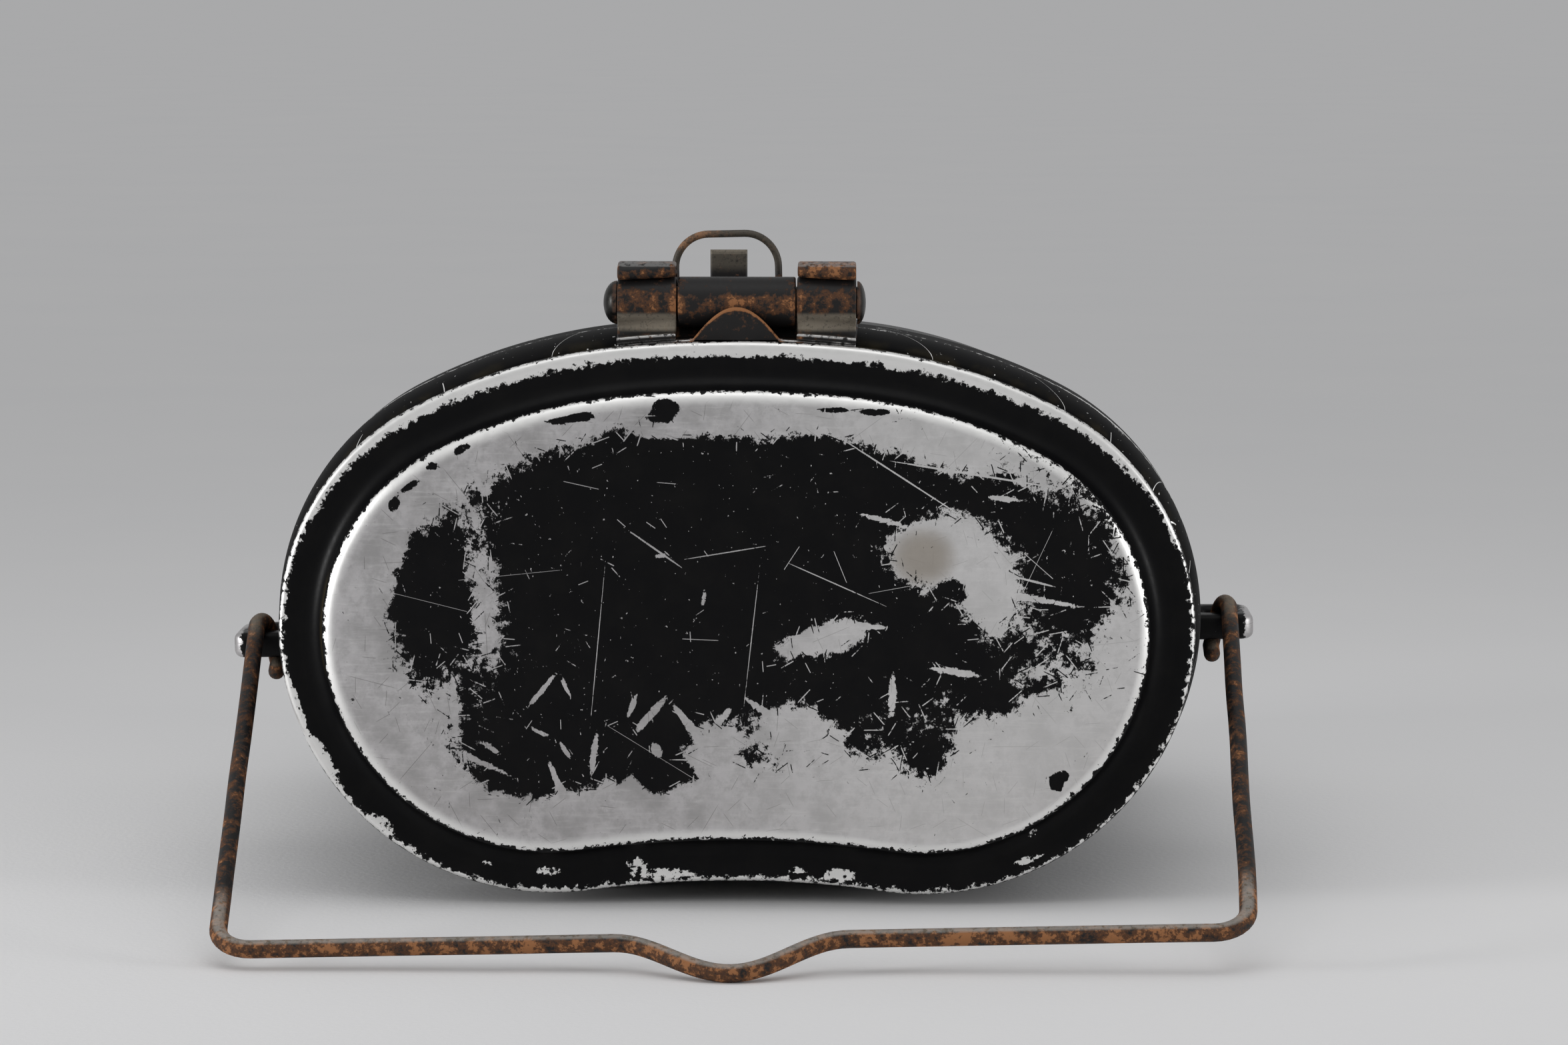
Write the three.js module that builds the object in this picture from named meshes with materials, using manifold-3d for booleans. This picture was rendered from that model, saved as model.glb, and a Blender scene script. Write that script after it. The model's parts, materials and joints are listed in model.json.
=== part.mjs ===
// Kidney-shaped aluminium mess kit: a cooking pot with a wire bail, and a pan lid with a folding
// steel handle. It lies on its hollow side, as it does when it is put down. Millimetres, +Z up,
// X along the bail's pivot, Y from the pan's face back to the pot's base. The origin is on the
// ground, below the middle of the whole object.
import * as THREE from 'three';
import { mergeVertices } from 'three/addons/utils/BufferGeometryUtils.js';
import Module from 'manifold-3d';

const wasm = await Module();
wasm.setup();
const { sin, cos, sqrt, asin, PI } = Math;
const rad = THREE.MathUtils.degToRad;

// ---------------------------------------------------------------- driving dimensions

// The kidney outline of the pan's front shoulder: arcs from the middle of the arched top round to
// the hollow below, each up to the direction its edge faces, counted from straight up.
const OUTLINE = [
  { radius: 200, until: 6, steps: 2 },
  { radius: 100, until: 27, steps: 4 },
  { radius: 44, until: 108, steps: 9 },
  { radius: 47.6, until: null, steps: 9 },
];
const HOLLOW_RADIUS = 180;
const HOLLOW_STEPS = 3;
const SHOULDER_LOW_Z = 2.1;

// Lengths along Y are counted from the plane of the shoulder.
const PANEL = { front: -6.2, inset: 9.6, edge: 1.6, wallInset: 8.0, wallBack: -3.6, cove: 3.4 };
const LEDGE = { y: 0.1, shoulderInset: 1.3, shoulderFront: -0.4, shoulderBack: 1.4, innerInset: 2 };
const NECK = { offset: -0.6, from: 2.7, to: 11 };
const ROLL = { offset: 2.1, crest: 18.5, rim: 28 };
const SHEET = 1.2;

const POT = { mouth: 18.8, offset: 0.5, wall: 1.3, base: 138, corner: 8 };
const POT_TAPER = { from: 28, to: 130, offset: -1.7, drop: -3.8 };

const PIN = { y: 8.6, z: 105.35, radius: 2.8, headRadius: 3.8, leftDome: 2.4, rightDome: 1.5 };
const BRACKET = { half: 20.85, gap: 0.35, plate: 1.3, back: 26, knuckle: 4.5, bore: 3.2 };
const KNUCKLE = { inner: 10.5, lip: -5.9, flare: 1.5 };
const TONGUE = { half: 8.05, height: 6, thick: 1.1 };

const HANDLE = { sheet: 1.2, bore: 3.3, sideGap: 0.3, top: 106.4, tailTop: 103.6, tailY: 90 };
const BARREL = { start: 60, end: 330, run: 6.8 };
const BEAD = { inset: 0.6, across: 1.7, root: 2.4, half: 1, edge: 0.4 };
const TAB = { inner: 4.8, outer: 7.2, frontInner: 112, frontOuter: 123, back: 40, run: 5 };
const THUMB = { half: 3.6, y: 92.2, top: 109.4, bend: 1.6 };
// The blade is bent a little sideways from here on, and its tail ends that far left of the middle.
const SKEW = { from: 26, x: -4.2 };

const STAPLE = { x: -4.6, y: 100, half: 10, topZ: 112, wire: 0.7, bend: 6.5, boss: 2.1, bossHigh: 1.6 };
const STAPLE_PLATE = { half: 14, front: 94.5, back: 105.5, thick: 1.2 };
const STAPLE_RIVET_X = 4.6;
const SOCKET_DEPTH = 1;

// The ears are riveted on a little out of level, so the bail's pivot tilts: its right end is higher.
const EAR = { y: 38, z: 42.4, tip: 93, bar: 2.3, root: 81, plate: 1.5, gap: 0.3, tilt: 1.27 };
const EAR_EDGE = { bevel: 1.1, tipFront: 3, tipBack: 3.4, rear: 4.4 };
const EAR_HOLE = { inner: 83.9, outer: 90.3, back: 9.7, corner: 1.6 };
const FOOT = { front: 33.5, back: 52.5, low: 29, top: 53.5 };

const BAIL = { wire: 1.5, hook: 4.2, armX: 88.5, legX: 85.4, leg: 4, barX: 84.8, reach: 98.2 };
const BAIL_BEND = { corner: 6, dip: 8.7, dipHalf: 19.2 };

const RIVET = { shank: 1.1, hole: 1.4, head: 2.4, dome: 0.9, seat: 0.3, tail: 2, tailHigh: 0.7 };

// ---------------------------------------------------------------- worked-out dimensions

const bailDip = BAIL.reach + BAIL_BEND.dip;
const bailSlope = restingSlope(EAR.z - BAIL.wire, BAIL.hook, bailDip);
const frontY = EAR.y - bailDip * cos(bailSlope) - BAIL.hook * sin(bailSlope) - BAIL.wire;
const middleY = (frontY + POT.base) / 2;
const earTilt = rad(EAR.tilt);
const earRise = EAR.root * Math.tan(earTilt);
const stapleLean = asin(STAPLE.x / OUTLINE[0].radius);

// Slope at which the bail's dip touches the ground: height = reach sin(a) - hook cos(a).
function restingSlope(height, hook, reach) {
  const length = sqrt(reach * reach + hook * hook);
  return asin(height / length) + Math.atan2(hook, reach);
}

// ---------------------------------------------------------------- solids

// Every solid is kept as an indexed mesh of positions only, with its faces pointing out.
function solid(geometry) {
  const bare = new THREE.BufferGeometry();
  bare.setAttribute('position', geometry.getAttribute('position').clone());
  if (geometry.index) bare.setIndex(geometry.index.clone());
  const merged = mergeVertices(bare, 1e-4);
  const index = [...merged.index.array];
  const kept = [];
  for (let i = 0; i < index.length; i += 3) {
    const [a, b, c] = index.slice(i, i + 3);
    if (a !== b && b !== c && a !== c) kept.push(a, b, c);
  }
  merged.setIndex(kept);
  if (volume(merged) < 0) merged.setIndex(kept.reverse());
  return merged;
}

function volume(geometry) {
  const place = geometry.getAttribute('position');
  const index = geometry.index.array;
  const [a, b, c] = [new THREE.Vector3(), new THREE.Vector3(), new THREE.Vector3()];
  let sum = 0;
  for (let i = 0; i < index.length; i += 3) {
    a.fromBufferAttribute(place, index[i]);
    b.fromBufferAttribute(place, index[i + 1]);
    c.fromBufferAttribute(place, index[i + 2]);
    sum += a.dot(b.cross(c)) / 6;
  }
  return sum;
}

// A closed skin over rings of equally many points, with flat ends.
function loft(rings) {
  const count = rings[0].length;
  const index = [];
  for (let r = 0; r + 1 < rings.length; r += 1) {
    for (let i = 0; i < count; i += 1) {
      const a = r * count + i;
      const b = r * count + ((i + 1) % count);
      index.push(a, b, b + count, a, b + count, a + count);
    }
  }
  endFaces(rings[0]).forEach(([a, b, c]) => index.push(c, b, a));
  const last = (rings.length - 1) * count;
  endFaces(rings[rings.length - 1]).forEach(([a, b, c]) => index.push(last + a, last + b, last + c));
  const geometry = new THREE.BufferGeometry().setFromPoints(rings.flat());
  geometry.setIndex(index);
  return solid(geometry);
}

// Triangles of a flat ring, wound the way the ring runs.
function endFaces(ring) {
  const normal = new THREE.Vector3();
  ring.forEach((p, i) => normal.add(p.clone().cross(ring[(i + 1) % ring.length])));
  normal.normalize();
  const right = new THREE.Vector3(1, 0, 0);
  if (Math.abs(normal.x) > 0.9) right.set(0, 1, 0);
  right.addScaledVector(normal, -right.dot(normal)).normalize();
  const up = normal.clone().cross(right);
  const flat = ring.map((p) => new THREE.Vector2(p.dot(right), p.dot(up)));
  return THREE.ShapeUtils.triangulateShape(flat, []);
}

function toManifold(geometry) {
  const position = geometry.getAttribute('position').array;
  const vertProperties = new Float32Array(position);
  const triVerts = new Uint32Array(geometry.index.array);
  return new wasm.Manifold(new wasm.Mesh({ numProp: 3, vertProperties, triVerts }));
}

function fromManifold(body) {
  const mesh = body.getMesh();
  const geometry = new THREE.BufferGeometry();
  geometry.setAttribute('position', new THREE.BufferAttribute(mesh.vertProperties, 3));
  geometry.setIndex([...mesh.triVerts]);
  return solid(geometry);
}

function join(...pieces) {
  return fromManifold(pieces.map(toManifold).reduce((all, next) => all.add(next)));
}

function cut(piece, tools) {
  const whole = toManifold(piece);
  return fromManifold(tools.map(toManifold).reduce((left, tool) => left.subtract(tool), whole));
}

function common(piece, other) {
  return fromManifold(toManifold(piece).intersect(toManifold(other)));
}

function mirrored(geometry) {
  return solid(geometry.clone().scale(-1, 1, 1));
}

// ---------------------------------------------------------------- the kidney outline

// Centre of each arc of the right half, worked out from the top down.
const arcs = (() => {
  let [x, z] = [0, -OUTLINE[0].radius];
  let from = 0;
  const list = OUTLINE.map((arc, i) => {
    if (i > 0) {
      x += (OUTLINE[i - 1].radius - arc.radius) * sin(from);
      z += (OUTLINE[i - 1].radius - arc.radius) * cos(from);
    }
    const to = arc.until ? rad(arc.until) : PI + asin(x / (arc.radius + HOLLOW_RADIUS));
    const placed = { x, z, radius: arc.radius, from, to, steps: arc.steps, outward: 1 };
    from = to;
    return placed;
  });
  const reach = OUTLINE[OUTLINE.length - 1].radius + HOLLOW_RADIUS;
  const hollow = { x: 0, z: z + reach * cos(from), radius: HOLLOW_RADIUS, from, to: PI };
  list.push({ ...hollow, steps: HOLLOW_STEPS, outward: -1 });
  const low = z - OUTLINE[OUTLINE.length - 1].radius;
  return list.map((arc) => ({ ...arc, z: arc.z - low + SHOULDER_LOW_Z }));
})();

function onArc(arc, angle, offset) {
  const reach = arc.outward * arc.radius + offset;
  return { x: arc.x + reach * sin(angle), z: arc.z + reach * cos(angle) };
}

// A point of the outline by the direction that its edge faces, on the arched side.
function onOutline(angle, offset) {
  const arc = arcs.find((one) => Math.abs(angle) <= one.to + 1e-9);
  const point = onArc(arc, Math.abs(angle), offset);
  return { x: angle < 0 ? -point.x : point.x, z: point.z };
}

// The whole closed outline, moved out by offset and down by drop, at depth y.
function kidney(y, offset, drop = 0) {
  const half = [];
  arcs.forEach((arc) => {
    for (let i = 0; i < arc.steps; i += 1) {
      half.push(onArc(arc, arc.from + ((arc.to - arc.from) * i) / arc.steps, offset));
    }
  });
  const last = arcs[arcs.length - 1];
  const bottom = onArc(last, PI, offset);
  const left = half.slice(1).reverse().map((p) => ({ x: -p.x, z: p.z }));
  return [...half, bottom, ...left].map((p) => new THREE.Vector3(p.x, y, p.z + drop));
}

// ---------------------------------------------------------------- pan lid

// Outside of the pan's wall behind its shoulder: a narrow neck, then the full skirt.
function panWall(y) {
  if (y <= NECK.to) return NECK.offset;
  if (y >= ROLL.crest) return ROLL.offset;
  const rise = (ROLL.crest - y) / (ROLL.crest - NECK.to);
  return NECK.offset + (ROLL.offset - NECK.offset) * sqrt(1 - rise * rise);
}

function panLid() {
  const { front, inset, edge, wallInset, wallBack, cove } = PANEL;
  const outside = [[front, -inset]];
  for (const turn of [45, 90]) {
    outside.push([front + edge * (1 - cos(rad(turn))), -inset + edge * sin(rad(turn))]);
  }
  for (const turn of [0, 45, 90]) {
    const y = wallBack + (LEDGE.y - wallBack) * sin(rad(turn));
    outside.push([y, -wallInset + cove * (1 - cos(rad(turn)))]);
  }
  outside.push([LEDGE.shoulderFront, -LEDGE.shoulderInset]);
  outside.push([LEDGE.shoulderFront * 0.4, -LEDGE.shoulderInset * 0.3]);
  outside.push([0.5, 0], [LEDGE.shoulderBack, 0], [NECK.from, NECK.offset], [NECK.to, NECK.offset]);
  for (const part of [0.15, 0.5]) {
    const y = NECK.to + part * (ROLL.crest - NECK.to);
    outside.push([y, panWall(y)]);
  }
  outside.push([ROLL.crest, ROLL.offset], [ROLL.rim, ROLL.offset]);
  const inside = [[ROLL.rim, ROLL.offset - SHEET], [ROLL.crest - SHEET, ROLL.offset - SHEET]];
  inside.push([NECK.to + SHEET, NECK.offset], [NECK.to - SHEET / 2, NECK.offset - SHEET]);
  inside.push([NECK.from, NECK.offset - SHEET], [LEDGE.y + SHEET, -LEDGE.innerInset - SHEET]);
  inside.push([LEDGE.y + SHEET, -wallInset + cove - SHEET], [wallBack + SHEET, -wallInset - SHEET]);
  inside.push([front + SHEET + edge, -wallInset - SHEET], [front + SHEET, -inset - SHEET]);
  const rings = [...outside, ...inside].map(([y, offset]) => kidney(y, offset));
  const holes = bracketRivets.map(({ angle }) => rivetHole(angle, BRACKET_RIVET_Y));
  return cut(loft(rings), holes);
}

// ---------------------------------------------------------------- pot

// Taper of the pot's wall at depth y: how far it draws in, and how far its middle sinks.
function potWall(y) {
  const part = THREE.MathUtils.clamp((y - POT_TAPER.from) / (POT_TAPER.to - POT_TAPER.from), 0, 1);
  const offset = POT.offset + (POT_TAPER.offset - POT.offset) * part;
  return { offset, drop: POT_TAPER.drop * part };
}

function onPot(angle, y, out) {
  const { offset, drop } = potWall(y);
  const point = onOutline(angle, offset + out);
  return new THREE.Vector3(point.x, y, point.z + drop);
}

function potBody() {
  const end = potWall(POT.base);
  const ring = (y, inset) => {
    const { offset, drop } = potWall(y);
    return kidney(y, offset - inset, drop);
  };
  const corner = (turn, radius, floor) => {
    const y = floor - radius * (1 - sin(rad(turn)));
    return kidney(y, end.offset - POT.corner + radius * cos(rad(turn)), end.drop);
  };
  const insideFloor = POT.base - POT.wall;
  const outer = [90, 60, 30, 0].map((turn) => corner(turn, POT.corner, POT.base));
  const inner = [0, 45, 90].map((turn) => corner(turn, POT.corner - POT.wall, insideFloor));
  const rings = [
    ...outer,
    ring(POT_TAPER.from, 0),
    ring(POT.mouth, 0),
    ring(POT.mouth, POT.wall),
    ring(POT_TAPER.from, POT.wall),
    ...inner,
  ];
  const holes = [
    ...earRivets(1).map((spot) => potHole(spot.angle, spot.y)),
    ...earRivets(-1).map((spot) => potHole(-spot.angle, spot.y)),
    ...stapleRivets.map((spot) => potHole(spot.angle, spot.y)),
  ];
  return cut(loft(rings), holes);
}

// ---------------------------------------------------------------- rivets

// Places of the rivets: the direction the wall faces there, and the depth.
const BRACKET_RIVET_Y = 22.5;
const bracketRivets = [-16, -6.5, 6.5, 16].map((x) => ({ angle: asin(x / OUTLINE[0].radius) }));
const EAR_RIVETS = [
  { angle: 83, y: 38.5 },
  { angle: 88, y: 48.5 },
  { angle: 112, y: 41.5 },
];
const stapleRivets = [-STAPLE_RIVET_X, STAPLE_RIVET_X].map((x) => (
  { angle: asin(x / OUTLINE[0].radius) + stapleLean, y: STAPLE.y }
));

// How far round the wall an ear moves as it rises: side is 1 for the right ear, -1 for the left.
function earShift(side) {
  return asin((side * earRise) / OUTLINE[OUTLINE.length - 1].radius);
}

function earRivets(side) {
  return EAR_RIVETS.map((spot) => ({ angle: rad(spot.angle) - earShift(side), y: spot.y }));
}

// A round-headed rivet along +Y: its head sits on y = 0, its shank hangs below.
function rivetGeometry(length, tail) {
  const { shank, head, dome, tailHigh } = RIVET;
  const profile = [new THREE.Vector2(0, -length - (tail ? tailHigh : 0))];
  if (tail) {
    profile.push(new THREE.Vector2(RIVET.tail * 0.7, -length - tailHigh * 0.85));
    profile.push(new THREE.Vector2(RIVET.tail, -length));
  }
  profile.push(new THREE.Vector2(shank, -length), new THREE.Vector2(shank, 0));
  profile.push(new THREE.Vector2(head, 0), new THREE.Vector2(head * 0.85, dome * 0.6));
  profile.push(new THREE.Vector2(head * 0.45, dome * 0.93), new THREE.Vector2(0, dome));
  return solid(new THREE.LatheGeometry(profile, 8));
}

function aimed(geometry, place, angle) {
  const turn = new THREE.Quaternion();
  turn.setFromUnitVectors(new THREE.Vector3(0, 1, 0), new THREE.Vector3(sin(angle), 0, cos(angle)));
  return solid(geometry.clone().applyQuaternion(turn).translate(place.x, place.y, place.z));
}

function hole(place, angle) {
  return aimed(new THREE.CylinderGeometry(RIVET.hole, RIVET.hole, 10, 8), place, angle);
}

function rivetHole(angle, y) {
  const point = onOutline(angle, ROLL.offset);
  return hole(new THREE.Vector3(point.x, y, point.z), angle);
}

function potHole(angle, y) {
  return hole(onPot(angle, y, 0), angle);
}

// ---------------------------------------------------------------- hinge bracket

// A curved plate on a wall: on(angle, y, out) gives the wall's points.
function pad(on, angles, depths, low, high) {
  const rings = depths.map((y) => [
    ...angles.map((angle) => on(angle, y, high)),
    ...[...angles].reverse().map((angle) => on(angle, y, low)),
  ]);
  return loft(rings);
}

function onPan(angle, y, out) {
  const point = onOutline(angle, panWall(y) + out);
  return new THREE.Vector3(point.x, y, point.z);
}

function spread(from, to, count) {
  return Array.from({ length: count + 1 }, (_, i) => from + ((to - from) * i) / count);
}

function circlePoints(radius, from, to, count) {
  return spread(from, to, count).map((turn) => [radius * cos(rad(turn)), radius * sin(rad(turn))]);
}

// A prism along X from a profile given as [y, z] pairs round the hinge pin.
function prismAtPin(profileAt, xs) {
  return loft(xs.map((x) => profileAt(x).map(([y, z]) => new THREE.Vector3(x, PIN.y + y, PIN.z + z))));
}

function plateTop(x) {
  return onPan(asin(x / OUTLINE[0].radius), NECK.from, BRACKET.gap + BRACKET.plate).z - PIN.z;
}

// Section of a knuckle: sheet that flares up from the plate's lip and curls round the pin.
function knuckleProfile(x) {
  const { knuckle, bore, plate } = BRACKET;
  const top = plateTop(x);
  const flareZ = top + KNUCKLE.flare;
  const reach = knuckle + KNUCKLE.flare;
  const flareY = -sqrt(reach * reach - flareZ * flareZ);
  const touch = THREE.MathUtils.radToDeg(Math.atan2(-flareZ, -flareY));
  const flare = spread(-90, touch, 3).map((turn) => [
    flareY + KNUCKLE.flare * cos(rad(turn)),
    flareZ + KNUCKLE.flare * sin(rad(turn)),
  ]);
  const around = circlePoints(knuckle, 180 + touch, -75, 16).slice(1);
  const within = circlePoints(bore, -75, 278, 18);
  const end = circlePoints(knuckle, 278, 278, 1)[0];
  return [
    [KNUCKLE.lip, top - plate * 0.8],
    [KNUCKLE.lip, top],
    ...flare,
    ...around,
    ...within,
    end,
    [end[0], top - plate * 0.8],
  ];
}

function tongue() {
  const shape = new THREE.Shape();
  const base = onPan(0, NECK.from, BRACKET.gap + 0.3).z;
  const across = spread(-1, 1, 14);
  const outline = across.map((u) => {
    const rise = TONGUE.height * (1 - u * u) ** 1.2;
    return new THREE.Vector2(u * TONGUE.half, base + Math.max(rise, 0.4));
  });
  const foot = [new THREE.Vector2(TONGUE.half, base), new THREE.Vector2(-TONGUE.half, base)];
  shape.setFromPoints([...outline, ...foot]);
  const blade = new THREE.ExtrudeGeometry(shape, { depth: TONGUE.thick, bevelEnabled: false });
  return solid(blade.rotateX(PI / 2).translate(0, NECK.from + TONGUE.thick, 0));
}

function hingeBracket() {
  const reach = asin(BRACKET.half / OUTLINE[0].radius);
  const depths = [NECK.from, NECK.to, 11.9, 13.6, 15.9, ROLL.crest, BRACKET.back];
  const angles = spread(-reach, reach, 8);
  const plate = pad(onPan, angles, depths, BRACKET.gap, BRACKET.gap + BRACKET.plate);
  const xs = spread(KNUCKLE.inner, BRACKET.half - 0.1, 2);
  const right = prismAtPin(knuckleProfile, xs);
  const holes = bracketRivets.map(({ angle }) => rivetHole(angle, BRACKET_RIVET_Y));
  return cut(join(plate, right, mirrored(right), tongue()), holes);
}

function hingePin() {
  const side = BRACKET.half + RIVET.seat;
  const dome = (height, sign) => [0, 30, 60, 90].map((turn) => new THREE.Vector2(
    PIN.headRadius * cos(rad(turn)),
    sign * (side + height * sin(rad(turn))),
  ));
  const profile = [
    ...dome(PIN.leftDome, -1).reverse(),
    new THREE.Vector2(PIN.radius, -side),
    new THREE.Vector2(PIN.radius, side),
    ...dome(PIN.rightDome, 1),
  ];
  profile[0].x = 0;
  profile[profile.length - 1].x = 0;
  const pin = new THREE.LatheGeometry(profile, 14);
  return solid(pin.rotateZ(-PI / 2).translate(0, PIN.y, PIN.z));
}

// ---------------------------------------------------------------- folding handle

// The barrel: the middle of the sheet curls round the pin and runs back into the blade.
function barrelProfile() {
  const { sheet, bore } = HANDLE;
  const { start, end, run } = BARREL;
  const back = ([y, z]) => [y + run * sin(rad(start)), z - run * cos(rad(start))];
  const around = circlePoints(bore + sheet, start, end, 14);
  const within = circlePoints(bore, end, start, 14);
  return [back(around[0]), ...around, ...within, back(within[within.length - 1])];
}

// A side tab: sheet folded double that lies over a knuckle, its front edge cut on the slant.
function tabProfile(x) {
  const { inner, outer, back, run } = TAB;
  const along = (x - KNUCKLE.inner) / (BRACKET.half - KNUCKLE.inner);
  const front = TAB.frontInner + (TAB.frontOuter - TAB.frontInner) * along ** 0.7;
  const leave = ([y, z]) => [y + run * sin(rad(back)), z - run * cos(rad(back))];
  const over = circlePoints(outer, back, front, 7);
  const under = circlePoints(inner, front, back, 7);
  return [leave(over[0]), ...over, ...under, leave(under[under.length - 1])];
}

// Half-width of the handle's blade along its length: broad root, waist, narrow tail.
const bladeWidths = new THREE.SplineCurve([
  new THREE.Vector2(15.4, 20.7),
  new THREE.Vector2(20, 20),
  new THREE.Vector2(28, 15),
  new THREE.Vector2(38, 11.5),
  new THREE.Vector2(60, 9.5),
  new THREE.Vector2(76, 8.2),
  new THREE.Vector2(85, 5.4),
  new THREE.Vector2(HANDLE.tailY, THUMB.half),
]);

// Section of the blade: a flat sheet with a bead along each edge.
function bladeSection(y, half) {
  const part = (y - PIN.y) / (HANDLE.tailY - PIN.y);
  const middle = HANDLE.top + (HANDLE.tailTop - HANDLE.top) * part - HANDLE.sheet / 2;
  const upper = [
    [BEAD.root, HANDLE.sheet / 2],
    [BEAD.across, BEAD.half],
    [BEAD.inset, BEAD.half],
    [0, BEAD.edge],
  ];
  const lower = upper.map(([inset, z]) => [inset, -z]).reverse();
  const side = [...upper, ...lower].map(([inset, z]) => [half - inset, middle + z]);
  const left = side.map(([x, z]) => [-x, z]).reverse();
  return [...side, ...left].map(([x, z]) => new THREE.Vector3(x + bladeSkew(y), y, z));
}

// How far the blade's middle has moved sideways at depth y.
function bladeSkew(y) {
  return SKEW.x * Math.max(0, (y - SKEW.from) / (THUMB.y - SKEW.from));
}

function thumbTab() {
  const { sheet, tailY, tailTop } = HANDLE;
  const low = tailTop - sheet;
  const bendZ = low + THUMB.bend;
  const bend = (radius) => [-90, -60, -30, 0].map((turn) => [
    THUMB.y - THUMB.bend + radius * cos(rad(turn)),
    bendZ + radius * sin(rad(turn)),
  ]);
  const profile = [
    [tailY - 1.5, low],
    ...bend(THUMB.bend),
    [THUMB.y, THUMB.top],
    [THUMB.y - sheet, THUMB.top],
    ...bend(THUMB.bend - sheet).reverse(),
    [tailY - 1.5, tailTop],
  ];
  const ring = (x) => profile.map(([y, z]) => new THREE.Vector3(x + bladeSkew(y), y, z));
  return loft([ring(-THUMB.half + 0.1), ring(THUMB.half - 0.1)]);
}

function panHandle() {
  const barrelHalf = KNUCKLE.inner - HANDLE.sideGap;
  const barrel = prismAtPin(barrelProfile, [-barrelHalf, barrelHalf]);
  const tabs = prismAtPin(tabProfile, spread(KNUCKLE.inner + 0.15, BRACKET.half - 0.15, 3));
  const blade = loft(bladeWidths.getPoints(18).map((p) => bladeSection(p.x, p.y)));
  return join(blade, barrel, tabs, mirrored(tabs), thumbTab());
}

// ---------------------------------------------------------------- wire

// Part of a circle in the plane of two axes, which may also move along by drift.
class Arc3 extends THREE.Curve {
  constructor(centre, first, second, radius, from, to, drift = new THREE.Vector3()) {
    super();
    Object.assign(this, { centre, first, second, radius, from: rad(from), to: rad(to), drift });
  }

  getPoint(t) {
    const turn = this.from + (this.to - this.from) * t;
    const point = this.centre.clone().addScaledVector(this.drift, t);
    point.addScaledVector(this.first, this.radius * cos(turn));
    return point.addScaledVector(this.second, this.radius * sin(turn));
  }
}

// Curves joined end to end, each with its own number of steps.
class Route extends THREE.Curve {
  constructor(pieces) {
    super();
    this.pieces = pieces;
    this.steps = pieces.reduce((sum, piece) => sum + piece.steps, 0);
  }

  getPoint(t) {
    let left = t * this.steps;
    let i = 0;
    while (i + 1 < this.pieces.length && left > this.pieces[i].steps) {
      left -= this.pieces[i].steps;
      i += 1;
    }
    return this.pieces[i].curve.getPoint(Math.min(left / this.pieces[i].steps, 1));
  }

  getUtoTmapping(u) {
    return u;
  }
}

function wire(pieces, radius, sides) {
  const route = new Route(pieces);
  const corners = circlePoints(radius, 0, 360, sides).slice(1);
  const section = new THREE.Shape(corners.map(([x, y]) => new THREE.Vector2(x, y)));
  return solid(new THREE.ExtrudeGeometry(section, { steps: route.steps, extrudePath: route }));
}

// ---------------------------------------------------------------- bail

// A point of the bail: x, distance along its arms, and height above the pivot's axis.
function onBail(x, along, above) {
  return new THREE.Vector3(
    x,
    EAR.y - along * cos(bailSlope) - above * sin(bailSlope),
    EAR.z - along * sin(bailSlope) + above * cos(bailSlope),
  );
}

class DipCurve extends THREE.Curve {
  getPoint(t) {
    const x = BAIL_BEND.dipHalf * (1 - 2 * t);
    const dip = (BAIL_BEND.dip / 2) * (1 + cos((PI * x) / BAIL_BEND.dipHalf));
    return onBail(x, BAIL.reach + dip, BAIL.hook);
  }
}

function bail() {
  const { hook, armX, legX, leg, barX, reach } = BAIL;
  const { corner, dipHalf } = BAIL_BEND;
  const lean = Math.atan2(armX - barX, reach);
  const trim = corner * Math.tan((PI / 2 - lean) / 2);
  const onward = onBail(0, 1, 0).sub(onBail(0, 0, 0));
  const upward = onBail(0, 0, 1).sub(onBail(0, 0, 0));
  const line = (a, b) => new THREE.LineCurve3(onBail(...a), onBail(...b));
  const side = (sign) => {
    const x = new THREE.Vector3(sign, 0, 0);
    const drift = x.clone().multiplyScalar(armX - legX);
    const bendFrom = [sign * (barX + trim * sin(lean)), reach - trim * cos(lean), hook];
    const bendTo = [sign * (barX - trim), reach, hook];
    const eye = onBail(sign * legX, 0, 0);
    const centre = onBail(sign * (barX - trim), reach - corner, hook);
    return [
      { curve: line([sign * legX, leg, -hook], [sign * legX, 0, -hook]), steps: 1 },
      { curve: new Arc3(eye, onward, upward, hook, 270, 90, drift), steps: 9 },
      { curve: line([sign * armX, 0, hook], bendFrom), steps: 2 },
      { curve: new Arc3(centre, x, onward, corner, THREE.MathUtils.radToDeg(lean), 90), steps: 5 },
      { curve: line(bendTo, [sign * dipHalf, reach, hook]), steps: 1 },
    ];
  };
  const backwards = (piece) => ({ steps: piece.steps, curve: new Reversed(piece.curve) });
  const route = [
    ...side(1),
    { curve: new DipCurve(), steps: 14 },
    ...side(-1).map(backwards).reverse(),
  ];
  return tilted(wire(route, BAIL.wire, 8), 1);
}

// Turned about the middle of the pivot, so that what is on the given side rises.
function tilted(geometry, side) {
  const turned = geometry.clone().translate(0, -EAR.y, -EAR.z).rotateY(-side * earTilt);
  return solid(turned.translate(0, EAR.y, EAR.z));
}

class Reversed extends THREE.Curve {
  constructor(curve) {
    super();
    this.curve = curve;
  }

  getPoint(t) {
    return this.curve.getPoint(1 - t);
  }
}

// ---------------------------------------------------------------- ears

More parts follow.
